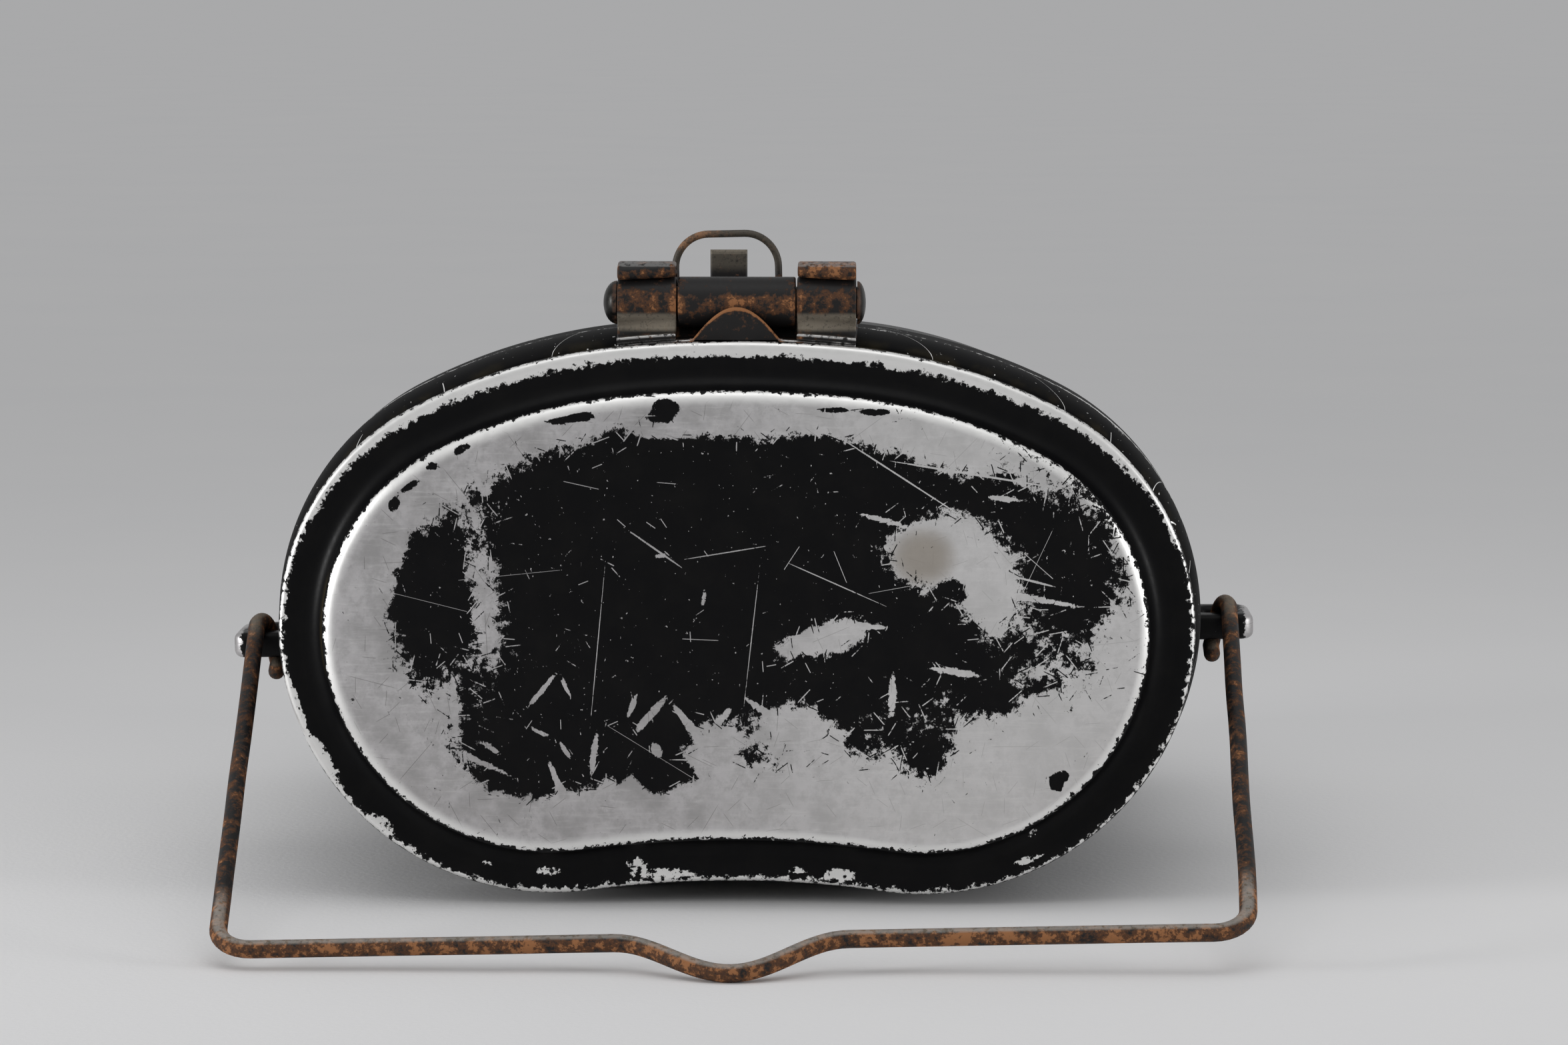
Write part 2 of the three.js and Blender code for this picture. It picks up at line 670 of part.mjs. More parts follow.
// The ring of an ear, seen from above: a straight front bar with an eye behind it.
function earRing() {
  const { y, z, tip, bar, root } = EAR;
  const { bevel, tipFront, tipBack, rear } = EAR_EDGE;
  const back = y + EAR_HOLE.back;
  const outer = new THREE.Shape();
  outer.moveTo(root, y - bar);
  outer.lineTo(tip - tipFront, y - bar);
  outer.absarc(tip - tipFront, y - bar + tipFront, tipFront, -PI / 2, 0, false);
  outer.lineTo(tip, back);
  outer.absarc(tip - tipBack, back, tipBack, 0, PI / 2, false);
  outer.lineTo(root, back + rear);
  const eye = new THREE.Path();
  const { inner, outer: far, corner } = EAR_HOLE;
  eye.moveTo(inner + corner, y + bar);
  eye.lineTo(far - corner, y + bar);
  eye.absarc(far - corner, y + bar + corner, corner, -PI / 2, 0, false);
  eye.lineTo(far, back - corner);
  eye.absarc(far - corner, back - corner, corner, 0, PI / 2, false);
  eye.lineTo(inner + corner, back);
  eye.absarc(inner + corner, back - corner, corner, PI / 2, PI, false);
  eye.lineTo(inner, y + bar + corner);
  eye.absarc(inner + corner, y + bar + corner, corner, PI, 1.5 * PI, false);
  outer.holes.push(eye);
  const options = {
    depth: 2 * (bar - bevel),
    bevelThickness: bevel,
    bevelSize: bevel,
    bevelOffset: -bevel,
    bevelSegments: 1,
    curveSegments: 3,
  };
  return solid(new THREE.ExtrudeGeometry(outer, options).translate(0, 0, z - bar + bevel));
}

// The foot of an ear: a plate that follows the pot's side, with rounded corners.
function earFoot(side) {
  const { front, back, low, top } = FOOT;
  const angles = spread(rad(73) - earShift(side), rad(121) - earShift(side), 8);
  const sheet = pad(onPot, angles, [front - 3, back + 3], EAR.gap, EAR.gap + EAR.plate);
  const plan = new THREE.Shape();
  plan.moveTo(front, low + 6);
  plan.quadraticCurveTo(front, top - 1, front + 6, top);
  plan.lineTo(back - 5, top);
  plan.quadraticCurveTo(back, top, back, top - 7);
  plan.quadraticCurveTo(back, low + 6, back - 8, low + 2);
  plan.quadraticCurveTo(front + 4, low - 2, front, low + 6);
  const reach = 20;
  const block = new THREE.ExtrudeGeometry(plan, { depth: reach, bevelEnabled: false, curveSegments: 4 });
  const across = new THREE.Matrix4().makeBasis(
    new THREE.Vector3(0, 1, 0),
    new THREE.Vector3(0, 0, 1),
    new THREE.Vector3(1, 0, 0),
  );
  block.applyMatrix4(across).translate(EAR.tip - reach, 0, side * earRise);
  return common(sheet, solid(block));
}

// The ear for one side, modelled on the right.
function ear(side) {
  const clear = pad(onPot, spread(rad(60), rad(130), 10), [28, 60], -6, EAR.gap);
  const holes = earRivets(side).map((spot) => potHole(spot.angle, spot.y));
  const ring = cut(tilted(earRing(), side), [clear]);
  return cut(join(earFoot(side), ring), holes);
}

// ---------------------------------------------------------------- strap staple

// The staple is modelled upright at the middle, then moved round the arched wall to its place.
function leaned(geometry) {
  const centreZ = arcs[0].z + potWall(STAPLE.y).drop;
  return solid(geometry.clone().translate(0, 0, -centreZ).rotateY(stapleLean).translate(0, 0, centreZ));
}

function staplePlate() {
  const reach = asin(STAPLE_PLATE.half / OUTLINE[0].radius);
  const depths = [STAPLE_PLATE.front, STAPLE_PLATE.back];
  const low = RIVET.seat;
  const plate = pad(onPot, spread(-reach, reach, 6), depths, low, low + STAPLE_PLATE.thick);
  const plateZ = onPot(0, STAPLE.y, low).z;
  const boss = (x) => {
    const high = STAPLE.bossHigh + STAPLE_PLATE.thick * 0.7;
    const post = new THREE.CylinderGeometry(STAPLE.boss, STAPLE.boss * 1.2, high, 12);
    const middle = plateZ + STAPLE_PLATE.thick * 0.3 + high / 2;
    return solid(post.rotateX(PI / 2).translate(x, STAPLE.y, middle));
  };
  const socket = (x) => {
    const radius = STAPLE.wire + RIVET.seat;
    const reach = 6;
    const drill = new THREE.CylinderGeometry(radius, radius, reach, 10);
    return solid(drill.rotateX(PI / 2).translate(x, STAPLE.y, plateZ + SOCKET_DEPTH + reach / 2));
  };
  const holes = stapleRivets.map((spot) => potHole(spot.angle, spot.y));
  const sockets = [socket(STAPLE.half), socket(-STAPLE.half)];
  const upright = cut(join(plate, boss(STAPLE.half), boss(-STAPLE.half)), sockets);
  return cut(leaned(upright), holes);
}

function strapStaple() {
  const { half, topZ, bend, y } = STAPLE;
  const footZ = onPot(0, y, RIVET.seat).z + SOCKET_DEPTH + RIVET.seat;
  const at = (x, z) => new THREE.Vector3(x, y, z);
  const [right, up] = [new THREE.Vector3(1, 0, 0), new THREE.Vector3(0, 0, 1)];
  return leaned(wire([
    { curve: new THREE.LineCurve3(at(half, footZ), at(half, topZ - bend)), steps: 1 },
    { curve: new Arc3(at(half - bend, topZ - bend), right, up, bend, 0, 90), steps: 6 },
    { curve: new THREE.LineCurve3(at(half - bend, topZ), at(bend - half, topZ)), steps: 1 },
    { curve: new Arc3(at(bend - half, topZ - bend), right, up, bend, 90, 180), steps: 6 },
    { curve: new THREE.LineCurve3(at(-half, topZ - bend), at(-half, footZ)), steps: 1 },
  ], STAPLE.wire, 8));
}

// ---------------------------------------------------------------- assembly

const paint = new THREE.MeshStandardMaterial({ color: 0x23242a, roughness: 0.42, metalness: 0.1 });
const wornPaint = new THREE.MeshStandardMaterial({ color: 0x4a4b50, roughness: 0.5, metalness: 0.3 });
const aluminium = new THREE.MeshStandardMaterial({ color: 0xb9b8b8, roughness: 0.4, metalness: 1 });
const rustySteel = new THREE.MeshStandardMaterial({ color: 0x5d4638, roughness: 0.6, metalness: 0.5 });
const darkSteel = new THREE.MeshStandardMaterial({ color: 0x4c5053, roughness: 0.35, metalness: 0.8 });

const kit = new THREE.Group();
kit.position.y = -middleY;

function place(name, geometry, material) {
  geometry.computeVertexNormals();
  const mesh = new THREE.Mesh(geometry, material);
  mesh.name = name;
  kit.add(mesh);
}

place('pot_body', potBody(), paint);
place('ear_right', ear(1), aluminium);
place('ear_left', mirrored(ear(-1)), aluminium);
const earSeat = EAR.gap + EAR.plate + RIVET.seat;
const earRivet = (spot) => {
  const shape = rivetGeometry(earSeat + POT.wall + RIVET.seat, true);
  return aimed(shape, onPot(spot.angle, spot.y, earSeat), spot.angle);
};
earRivets(1).forEach((spot, i) => {
  place(`ear_right_rivet_${i + 1}`, earRivet(spot), aluminium);
});
earRivets(-1).forEach((spot, i) => {
  place(`ear_left_rivet_${i + 1}`, mirrored(earRivet(spot)), aluminium);
});
place('staple_plate', staplePlate(), rustySteel);
place('strap_staple', strapStaple(), rustySteel);
stapleRivets.forEach((spot, i) => {
  const over = RIVET.seat + STAPLE_PLATE.thick + RIVET.seat;
  const seat = onPot(spot.angle, spot.y, over);
  const rivet = aimed(rivetGeometry(over + POT.wall + RIVET.seat, true), seat, spot.angle);
  place(`staple_rivet_${i + 1}`, rivet, aluminium);
});

place('lid_pan', panLid(), wornPaint);
place('hinge_bracket', hingeBracket(), rustySteel);
bracketRivets.forEach(({ angle }, i) => {
  const over = BRACKET.gap + BRACKET.plate + RIVET.seat;
  const seat = onPan(angle, BRACKET_RIVET_Y, over);
  const rivet = aimed(rivetGeometry(over + SHEET * 0.8, false), seat, angle);
  place(`bracket_rivet_${i + 1}`, rivet, aluminium);
});
place('hinge_pin', hingePin(), darkSteel);
place('pan_handle', panHandle(), rustySteel);
place('bail', bail(), rustySteel);

export default kit;
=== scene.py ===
"""Looks of the kidney-shaped mess kit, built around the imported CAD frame.

Lengths in this script are millimetres, counted along Y from the plane of the pan's shoulder, as the
object is described. Meshes are turned into the frame's metres when they are made.
"""

import json
import math

import bmesh
import bpy
import numpy as np
from mathutils import Matrix, Vector, noise
from mathutils.geometry import delaunay_2d_cdt


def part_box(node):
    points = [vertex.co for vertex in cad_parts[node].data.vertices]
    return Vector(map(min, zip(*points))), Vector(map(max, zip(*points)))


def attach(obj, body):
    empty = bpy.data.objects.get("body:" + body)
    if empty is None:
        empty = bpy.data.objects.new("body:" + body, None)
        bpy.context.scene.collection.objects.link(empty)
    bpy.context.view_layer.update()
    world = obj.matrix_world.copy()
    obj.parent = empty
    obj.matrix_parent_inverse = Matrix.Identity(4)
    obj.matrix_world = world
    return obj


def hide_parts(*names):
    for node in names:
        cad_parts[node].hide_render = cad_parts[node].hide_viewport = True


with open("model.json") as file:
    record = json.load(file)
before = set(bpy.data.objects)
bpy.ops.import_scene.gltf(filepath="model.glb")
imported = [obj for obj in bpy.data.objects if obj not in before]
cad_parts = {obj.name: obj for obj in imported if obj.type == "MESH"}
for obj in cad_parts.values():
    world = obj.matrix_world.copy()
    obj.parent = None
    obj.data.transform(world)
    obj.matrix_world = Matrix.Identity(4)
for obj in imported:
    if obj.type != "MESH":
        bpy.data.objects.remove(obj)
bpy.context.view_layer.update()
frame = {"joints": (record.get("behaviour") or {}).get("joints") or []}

MM = 0.001

# Unevenness of the sheet metal and the wire: sizes of its waves, and their depths.
RUMPLE_SEED = 5
LID_RUMPLES = [(26.0, 0.2), (9.0, 0.06)]
POT_RUMPLE = (30.0, 0.18)
WIRE_RUMPLE = (23.0, 0.35)
noise.seed_set(RUMPLE_SEED)

# ---------------------------------------------------------------- driving dimensions

POT = {"mouth": 18.8, "offset": 0.5, "wall": 1.3, "base": 138.0, "corner": 8.0}
POT_BASE_SINK = 0.1
POT_TAPER = {"start": 28.0, "end": 130.0, "offset": -1.7, "drop": -3.8}
SHOULDER_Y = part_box("pot_body")[1].y / MM - POT["base"]

# Arcs of the kidney outline: radius, the direction that the arc's end faces, and its steps.
OUTLINE = [(200.0, 6.0, 12), (100.0, 27.0, 22), (44.0, 108.0, 44), (47.6, None, 46)]
HOLLOW_RADIUS = 180.0
HOLLOW_STEPS = 12
SHOULDER_LOW_Z = 2.1

PANEL = {"front": -6.2, "inset": 9.6, "edge": 1.6, "wall_back": -3.6, "cove": 3.4}
LEDGE_Y = 0.1
NECK = {"offset": -0.6, "start": 2.7, "end": 11.0}
ROLL = {"offset": 2.1, "crest": 18.5, "rim": 28.0}
SHEET = 1.2

PIN = {"y": 8.6, "head": 3.8, "half": 20.95, "shank": 2.8, "left_dome": 2.4, "right_dome": 1.5}
PIN["z"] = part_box("hinge_pin")[1].z / MM - PIN["head"]
BRACKET = {"half": 20.85, "plate": 0.85, "back": 26.0, "knuckle": 4.5, "inner": 10.5, "flare": 1.5}
BRACKET_RIVETS = {"x": (-16, -6.5, 6.5, 16), "y": 22.5}
FOLD_SHEET = 1.2
TONGUE = {"half": 8.05, "height": 6.0, "thick": 1.1}
HANDLE = {"sheet": 1.2, "top": 106.4, "tail_top": 103.6, "tail_y": 90.0, "barrel_half": 10.25}
BARREL = {"radius": 3.9, "start": 60, "end": 335, "root": (6.8, 4.5, 2.2)}
TAB = {"over": 6.6, "under": 5.4, "back": 40, "front": 107, "slant": 11, "root": (5.6, 4.0, 2.0)}
THUMB = {"half": 3.6, "y": 92.2, "top": 109.4, "bend": 1.6}
SKEW = {"start": 26.0, "x": -4.2}

STAPLE = {"x": -4.6, "y": 100.0, "half": 10.0, "top": 112.0, "wire": 0.7, "bend": 6.5, "rivet_x": 4.6}
STAPLE_PLATE = {"half": 13.6, "deep": 5.1, "sheet": 1.3}
EAR = {"tip": 93.0, "bar": 2.3, "root": 80.9, "front_corner": 2.6, "back_corner": 3.4, "back_bar": 4.4}
EAR_HOLE = {"inner": 83.9, "outer": 90.3, "back": 9.7, "corner": 1.6}
EAR_FOOT = {"y": 43.0, "z": 41.4, "half_y": 9.2, "half_z": 11.8, "lean": 1.2, "square": 0.42}
BAIL = {"wire": 1.5, "hook": 4.2, "arm_x": 88.5, "leg_x": 85.4, "leg": 4.0, "bar_x": 84.8, "reach": 98.2}
BAIL_BEND = {"corner": 6.0, "dip": 8.7, "dip_half": 19.2}
RIVET = {"head": 2.4, "dome": 0.9}
PANEL_MESH = 0.55

# Ovals of the panel's face: x, z, half-widths, turn in degrees, and how far they count towards
# paint (above zero) or bare metal (below).
PANEL_BARE = [
    (-66, 58, 22, 34, 0, -16), (-37, 87.5, 26, 7.5, 25, -15), (-56, 24, 12, 12, 0, -10),
    (-45, 19, 12, 6, 0, -8), (-25, 14, 24, 6.5, 4, -14), (20, 14, 44, 17.5, 0, -17), (55, 29, 17, 19, 0, -14),
    (10, 33, 8, 5, 0, -8), (36, 81, 15, 5, -22, -7), (66, 50, 5, 6, 0, -7), (36, 62.5, 10, 7.5, 0, -18),
    (45, 56, 6, 8, 0, -14), (14, 48, 9.5, 3.2, 14, -16), (2, 88.5, 17, 4.5, -2, -13),
    (-44, 56, 3, 12, 8, -9), (28, 84, 12, 3.5, -8, -5), (-17.5, 22, 1.6, 3.4, 0, -12),
    (-4, 30, 4.5, 4.5, -30, -10), (38, 83, 9, 3, -20, -7), (-12, 84, 5, 1.3, 0, -9),
]
PANEL_PAINT = [
    (-52.5, 54, 7, 8.5, 0, 15), (-52, 64, 7, 5, 0, 7), (-58.5, 53, 2, 2, 0, 8),
    (-58.8, 71.4, 1.7, 1.1, 62, 29), (-56, 74.6, 2.3, 0.8, 30, 29), (-52.2, 78, 1.5, 1.1, 10, 28),
    (-47, 81.2, 2.4, 1.0, 28, 27), (-12.4, 87.6, 2.2, 1.8, 20, 20), (-11, 88.6, 1.6, 1.7, 0, 15),
    (-13.4, 89, 1, 0.9, 0, 10), (-29, 86.2, 4.2, 0.8, 8, 22), (-26, 87, 1.6, 0.7, -20, 15),
    (17, 88, 3, 0.6, 0, 18), (23.5, 87.6, 3, 0.6, 0, 18), (33, 84.5, 6, 2, -20, 10),
    (55.6, 23, 1.3, 1.7, 24, 44), (57, 24.4, 1.2, 1.0, -30, 30), (-69.5, 54, 0.8, 3, 0, 12),
    (-66.5, 38, 1, 4, 0, 9), (-58.5, 28, 0.9, 3, 0, 9), (-14, 23.5, 5, 3.5, 0, 9), (44, 38, 5, 3, 0, 8),
    (52, 40, 3, 1.6, 10, 8), (34, 27, 4, 4, 0, 8), (-38, 25, 9, 6, 0, 7), (38, 57, 3, 2, 0, 15),
]
# Scratches: from, to and half-width. The amounts below say how far they count.
PANEL_STROKES = [
    ((-14, 62.3), (-11.5, 63), 0.3), ((-36, 36), (-31, 42), 0.42), ((-36.5, 33), (-31.5, 30.5), 0.5),
    ((-33, 28), (-29, 18.5), 0.5), ((-30.5, 30), (-28.5, 27), 0.45), ((-24, 31.5), (-25, 24), 0.42),
    ((-17.5, 31.5), (-12, 38), 0.7), ((-11, 37), (-6.5, 31.5), 0.55), ((-3, 33.5), (-0.8, 36.2), 0.35),
    ((1.5, 38.2), (8, 33.5), 0.35), ((-14, 30), (-13.2, 27.5), 0.75), ((-17, 38.5), (-18.5, 34.5), 0.4),
    ((-30, 41.5), (-28.5, 38), 0.36), ((27.3, 42.5), (27.2, 35.5), 0.6), ((34, 43.2), (42, 42), 0.5),
    ((43.5, 73), (49, 72.5), 0.45), ((48, 56), (60, 54), 0.36), ((21, 70), (29, 68), 0.3),
    ((-49, 40), (-48.5, 32), 0.36), ((-5, 57.5), (-5.6, 53.5), 0.36), ((-46, 27.5), (-38, 23.5), 0.45),
    ((-44, 30), (-40, 27.5), 0.5), ((44, 61), (47.5, 62.5), 0.3), ((20, 50.5), (26, 50.3), 0.3),
]
PANEL_HAIRLINES = [
    ((4.2, 60), (1.6, 37), 0.08), ((-22.5, 60), (-25, 34), 0.08), ((-11, 27), (-1, 27), 0.12),
    ((8, 62), (26, 54), 0.1), ((-19, 67.5), (-9, 60.5), 0.16), ((-9, 62), (6, 64.5), 0.1),
    ((20, 82), (37, 71), 0.14), ((28, 79), (53, 75), 0.16), ((49, 59), (55, 57.5), 0.18),
]
STROKE_AMOUNT = -19.0
HAIRLINE_AMOUNT = -13.0
# Ovals again, for chips along the shoulder's bead and the skirt's roll.
EDGE_CHIPS = [
    (-33, 6.1, 1.7, 0.8, 0, -9), (-13, 5.9, 4, 0.65, 0, -9), (-17.2, 7.6, 1.5, 0.9, -8, -12),
    (10, 6.6, 0.9, 0.7, 0, -9), (18.2, 5.8, 1.6, 0.9, 0, -9), (52, 13.2, 1.1, 1.0, 30, -10),
    (66.2, 82, 1.9, 1.1, -40, -12), (-44, 7.5, 0.8, 0.8, 0, -7), (-62, 14.5, 1.6, 1.0, -40, -8),
    (-77, 34, 1.0, 4.2, 14, -7), (-72, 26, 1.0, 3.6, 32, -7), (26.5, 100.8, 2.4, 0.5, -8, -9),
    (-28.5, 100.6, 1.6, 0.6, 10, -8), (1, 98.2, 2.2, 1.2, 0, -6), (18, 97.2, 3.2, 1.0, -4, -7),
    (28, 95.8, 1.2, 1.4, 0, -7), (51, 8.5, 2.2, 0.5, 18, -7),
]


# ---------------------------------------------------------------- meshes

def to_frame(points):
    """Millimetres from the shoulder's plane, as metres in the frame."""
    moved = np.asarray(points, float).reshape(-1, 3) + (0.0, SHOULDER_Y, 0.0)
    return moved * MM


def make_piece(name, shape, material, body, nodes, sharp=32.0, fields=None):
    """One closed piece: its points and faces, material, CAD body and the CAD nodes it stands for."""
    points, faces = shape
    mesh = bpy.data.meshes.new(name)
    mesh.from_pydata([tuple(p) for p in to_frame(points)], [], [tuple(f) for f in faces])
    for field, values in (fields or {}).items():
        attribute = mesh.attributes.new(field, "FLOAT", "POINT")
        attribute.data.foreach_set("value", np.asarray(values, np.float32))
    work = bmesh.new()
    work.from_mesh(mesh)
    bmesh.ops.remove_doubles(work, verts=work.verts, dist=1e-7)
    bmesh.ops.recalc_face_normals(work, faces=work.faces)
    work.to_mesh(mesh)
    work.free()
    mesh.shade_smooth()
    mesh.set_sharp_from_angle(angle=math.radians(sharp))
    mesh.materials.append(material)
    piece = bpy.data.objects.new(name, mesh)
    bpy.context.scene.collection.objects.link(piece)
    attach(piece, body)
    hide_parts(*nodes)


def merged(*parts):
    """Several (points, faces) as one."""
    points, faces = [], []
    for some_points, some_faces in parts:
        start = len(points)
        points.extend(np.asarray(some_points, float).reshape(-1, 3))
        faces.extend([tuple(start + i for i in face) for face in some_faces])
    return np.array(points), faces


def loft_faces(rings, count, ends=True):
    """Quads between rings of equally many points, with flat ends."""
    faces = []
    for r in range(rings - 1):
        for i in range(count):
            j = (i + 1) % count
            faces.append((r * count + i, r * count + j, (r + 1) * count + j, (r + 1) * count + i))
    if ends:
        faces.append(tuple(range(count - 1, -1, -1)))
        faces.append(tuple((rings - 1) * count + i for i in range(count)))
    return faces


def unit(vectors):
    return vectors / np.maximum(np.linalg.norm(vectors, axis=-1, keepdims=True), 1e-12)


def shell(grid, thick, edge=0.4, steps=3):
    """A closed sheet over a grid of middle points, thick all over, with its borders rounded."""
    middle = np.asarray(grid, float)
    rows, columns = middle.shape[:2]
    along = np.gradient(middle, axis=0)
    across = np.gradient(middle, axis=1)
    normal = unit(np.cross(along, across))
    half = thick / 2
    border = [(0, j) for j in range(columns)]
    border += [(i, columns - 1) for i in range(1, rows)]
    border += [(rows - 1, j) for j in range(columns - 2, -1, -1)]
    border += [(i, 0) for i in range(rows - 2, 0, -1)]
    outward = []
    for i, j in border:
        ahead = (i == rows - 1) - (i == 0)
        aside = (j == columns - 1) - (j == 0)
        outward.append(ahead * unit(along[i, j]) + aside * unit(across[i, j]))
    turns = [math.pi / 2 * k / steps for k in range(1, steps + 1)]
    rounds = [(edge * math.sin(t), half - edge + edge * math.cos(t)) for t in turns]
    rounds += [(out, -up) for out, up in reversed(rounds)]
    points = list((middle + half * normal).reshape(-1, 3))
    points += list((middle - half * normal).reshape(-1, 3))
    low = rows * columns
    faces = []
    for i in range(rows - 1):
        for j in range(columns - 1):
            a = i * columns + j
            b = a + 1
            faces.append((a, b, b + columns, a + columns))
            faces.append((low + a + columns, low + b + columns, low + b, low + a))
    loops = [[i * columns + j for i, j in border]]
    for out, up in rounds:
        start = len(points)
        loops.append(list(range(start, start + len(border))))
        for (i, j), away in zip(border, outward):
            points.append(middle[i, j] + out * away + up * normal[i, j])
    loops.append([low + i * columns + j for i, j in border])
    for upper, lower in zip(loops, loops[1:]):
        for k in range(len(border)):
            n = (k + 1) % len(border)
            faces.append((upper[n], upper[k], lower[k], lower[n]))
    return np.array(points), faces


def tipped(rings, first, last):
    """A closed skin over rings of equally many points, drawn to a point at each end."""
    sides = len(rings[0])
    points = np.vstack([[first], *rings, [last]])
    faces = [tuple(1 + i for i in face) for face in loft_faces(len(rings), sides, ends=False)]
    end = len(points) - 1 - sides
    for i in range(sides):
        j = (i + 1) % sides
        faces += [(0, 1 + j, 1 + i), (len(points) - 1, end + i, end + j)]
    return points, faces


def sweep(route, radius, sides, caps=4):
    """Round wire along a list of points, with round ends."""
    route = np.asarray(route, float)
    tangent = unit(np.gradient(route, axis=0))
    side = unit(np.cross(tangent[0], (0.31, 0.77, 0.55)))
    turns = np.arange(sides) * 2 * math.pi / sides
    circles = []
    for ahead in tangent:
        side = unit(side - ahead * np.dot(side, ahead))
        circles.append(np.outer(np.cos(turns), side) + np.outer(np.sin(turns), np.cross(ahead, side)))
    rings = [place + radius * circle for place, circle in zip(route, circles)]
    for k in range(1, caps):
        wide, ahead = radius * math.cos(math.pi / 2 * k / caps), radius * math.sin(math.pi / 2 * k / caps)
        rings.insert(0, route[0] + wide * circles[0] - ahead * tangent[0])
        rings.append(route[-1] + wide * circles[-1] + ahead * tangent[-1])
    return tipped(rings, route[0] - radius * tangent[0], route[-1] + radius * tangent[-1])


def lathe(profile, sides):
    """Turns (radius, height) pairs round Z; the profile starts and ends on the axis."""
    turns = np.arange(sides) * 2 * math.pi / sides
    circle = np.column_stack([np.cos(turns), np.sin(turns), np.zeros(sides)])
    rings = [radius * circle + (0, 0, height) for radius, height in profile[1:-1]]
    return tipped(rings, (0, 0, profile[0][1]), (0, 0, profile[-1][1]))


def aimed(points, place, direction):
    """Points modelled round +Z at the origin, turned to a direction and moved to a place."""
    turn = np.array(Vector((0, 0, 1)).rotation_difference(Vector(direction)).to_matrix())
    return np.asarray(points) @ turn.T + np.asarray(place, float)


def smooth_line(points, step):
    """Catmull-Rom curve through points, sampled about every step."""
    knots = np.asarray(points, float)
    knots = np.vstack([2 * knots[0] - knots[1], knots, 2 * knots[-1] - knots[-2]])
    line = []
    for a, b, c, d in zip(knots, knots[1:], knots[2:], knots[3:]):
        count = max(1, int(round(np.linalg.norm(c - b) / step)))
        for k in range(count):
            t = k / count
            line.append(0.5 * (2 * b + (c - a) * t + (2 * a - 5 * b + 4 * c - d) * t ** 2
                               + (3 * b - a - 3 * c + d) * t ** 3))
    line.append(knots[-2])
    return np.array(line)


def arc(radius, start, end, count, centre=(0.0, 0.0)):
    """Points of an arc, its angles in degrees."""
    turns = np.radians(np.linspace(start, end, count + 1))
    return np.column_stack([centre[0] + radius * np.cos(turns), centre[1] + radius * np.sin(turns)])


def ease(value, low, high):
    """0 below low, 1 above high, smooth between."""
    t = min(max((value - low) / (high - low), 0.0), 1.0)
    return t * t * (3 - 2 * t)


# ---------------------------------------------------------------- the kidney outline

def place_arcs():
    """The arcs of the right half from the top down: centre, radius, directions, steps, side."""
    x, z, facing = 0.0, -OUTLINE[0][0], 0.0
    placed = []
    for i, (radius, until, steps) in enumerate(OUTLINE):
        if i:
            x += (OUTLINE[i - 1][0] - radius) * math.sin(facing)
            z += (OUTLINE[i - 1][0] - radius) * math.cos(facing)
        end = math.radians(until) if until else math.pi + math.asin(x / (radius + HOLLOW_RADIUS))
        placed.append([x, z, radius, facing, end, steps, 1])
        facing = end
    last = OUTLINE[-1][0]
    low = z - last
    z += (last + HOLLOW_RADIUS) * math.cos(facing)
    placed.append([0.0, z, HOLLOW_RADIUS, facing, math.pi, HOLLOW_STEPS, -1])
    for one in placed:
        one[1] += SHOULDER_LOW_Z - low
    return placed


ARCS = place_arcs()


def on_arc(one, angle, offset):
    x, z, radius, _, _, _, outward = one
    reach = outward * radius + offset
    return x + reach * math.sin(angle), z + reach * math.cos(angle)


def on_outline(angle, offset):
    """Point of the outline by the direction that its edge faces."""
    one = next(one for one in ARCS if abs(angle) <= one[4] + 1e-9)
    x, z = on_arc(one, abs(angle), offset)
    return math.copysign(x, angle), z


def kidney(y, offset, drop=0.0):
    """The whole outline moved out by offset, at depth y."""
    half = []
    for one in ARCS:
        for k in range(one[5]):
            half.append(on_arc(one, one[3] + (one[4] - one[3]) * k / one[5], offset))
    half.append(on_arc(ARCS[-1], math.pi, offset))
    left = [(-x, z) for x, z in half[-2:0:-1]]
    return np.array([(x, y, z + drop) for x, z in half + left])


def arc_lengths(ring):
    """Length along a closed ring from its first point, negative on its second half."""
    steps = np.linalg.norm(np.diff(ring, axis=0), axis=1)
    length = np.concatenate([[0.0], np.cumsum(steps)])
    total = length[-1] + np.linalg.norm(ring[0] - ring[-1])
    return np.where(length > total / 2, length - total, length)


def wall_offset(y):
    """Outside of the pan's wall behind its shoulder: a narrow neck, then the full skirt."""
    if y <= NECK["end"]:
        return NECK["offset"]
    if y >= ROLL["crest"]:
        return ROLL["offset"]
    rise = (ROLL["crest"] - y) / (ROLL["crest"] - NECK["end"])
    return NECK["offset"] + (ROLL["offset"] - NECK["offset"]) * math.sqrt(1 - rise * rise)


def on_pan(angle, y, out):
    x, z = on_outline(angle, wall_offset(y) + out)
    return np.array([x, y, z])


def top_angle(x):
    """Direction that the outline's arched top faces at x."""
    return math.asin(x / OUTLINE[0][0])


TONGUE_BASE = on_pan(0.0, NECK["start"], 0.3)[2]


def pot_wall(y):
    part = min(max((y - POT_TAPER["start"]) / (POT_TAPER["end"] - POT_TAPER["start"]), 0), 1)
    return POT["offset"] + (POT_TAPER["offset"] - POT["offset"]) * part, POT_TAPER["drop"] * part


def on_pot(angle, y, out):
    offset, drop = pot_wall(y)
    x, z = on_outline(angle, offset + out)
    return np.array([x, y, z + drop])


# ---------------------------------------------------------------- pan lid and pot

def rumple(points, wave, weights):
    """Moves points in and out a little, as thin sheet does after years of use."""
    size, depth = wave
    moved = np.array(points, float)
    for i, point in enumerate(points):
        moved[i] += depth * weights[i] * np.array(noise.noise_vector(Vector(point) / size))
    return moved


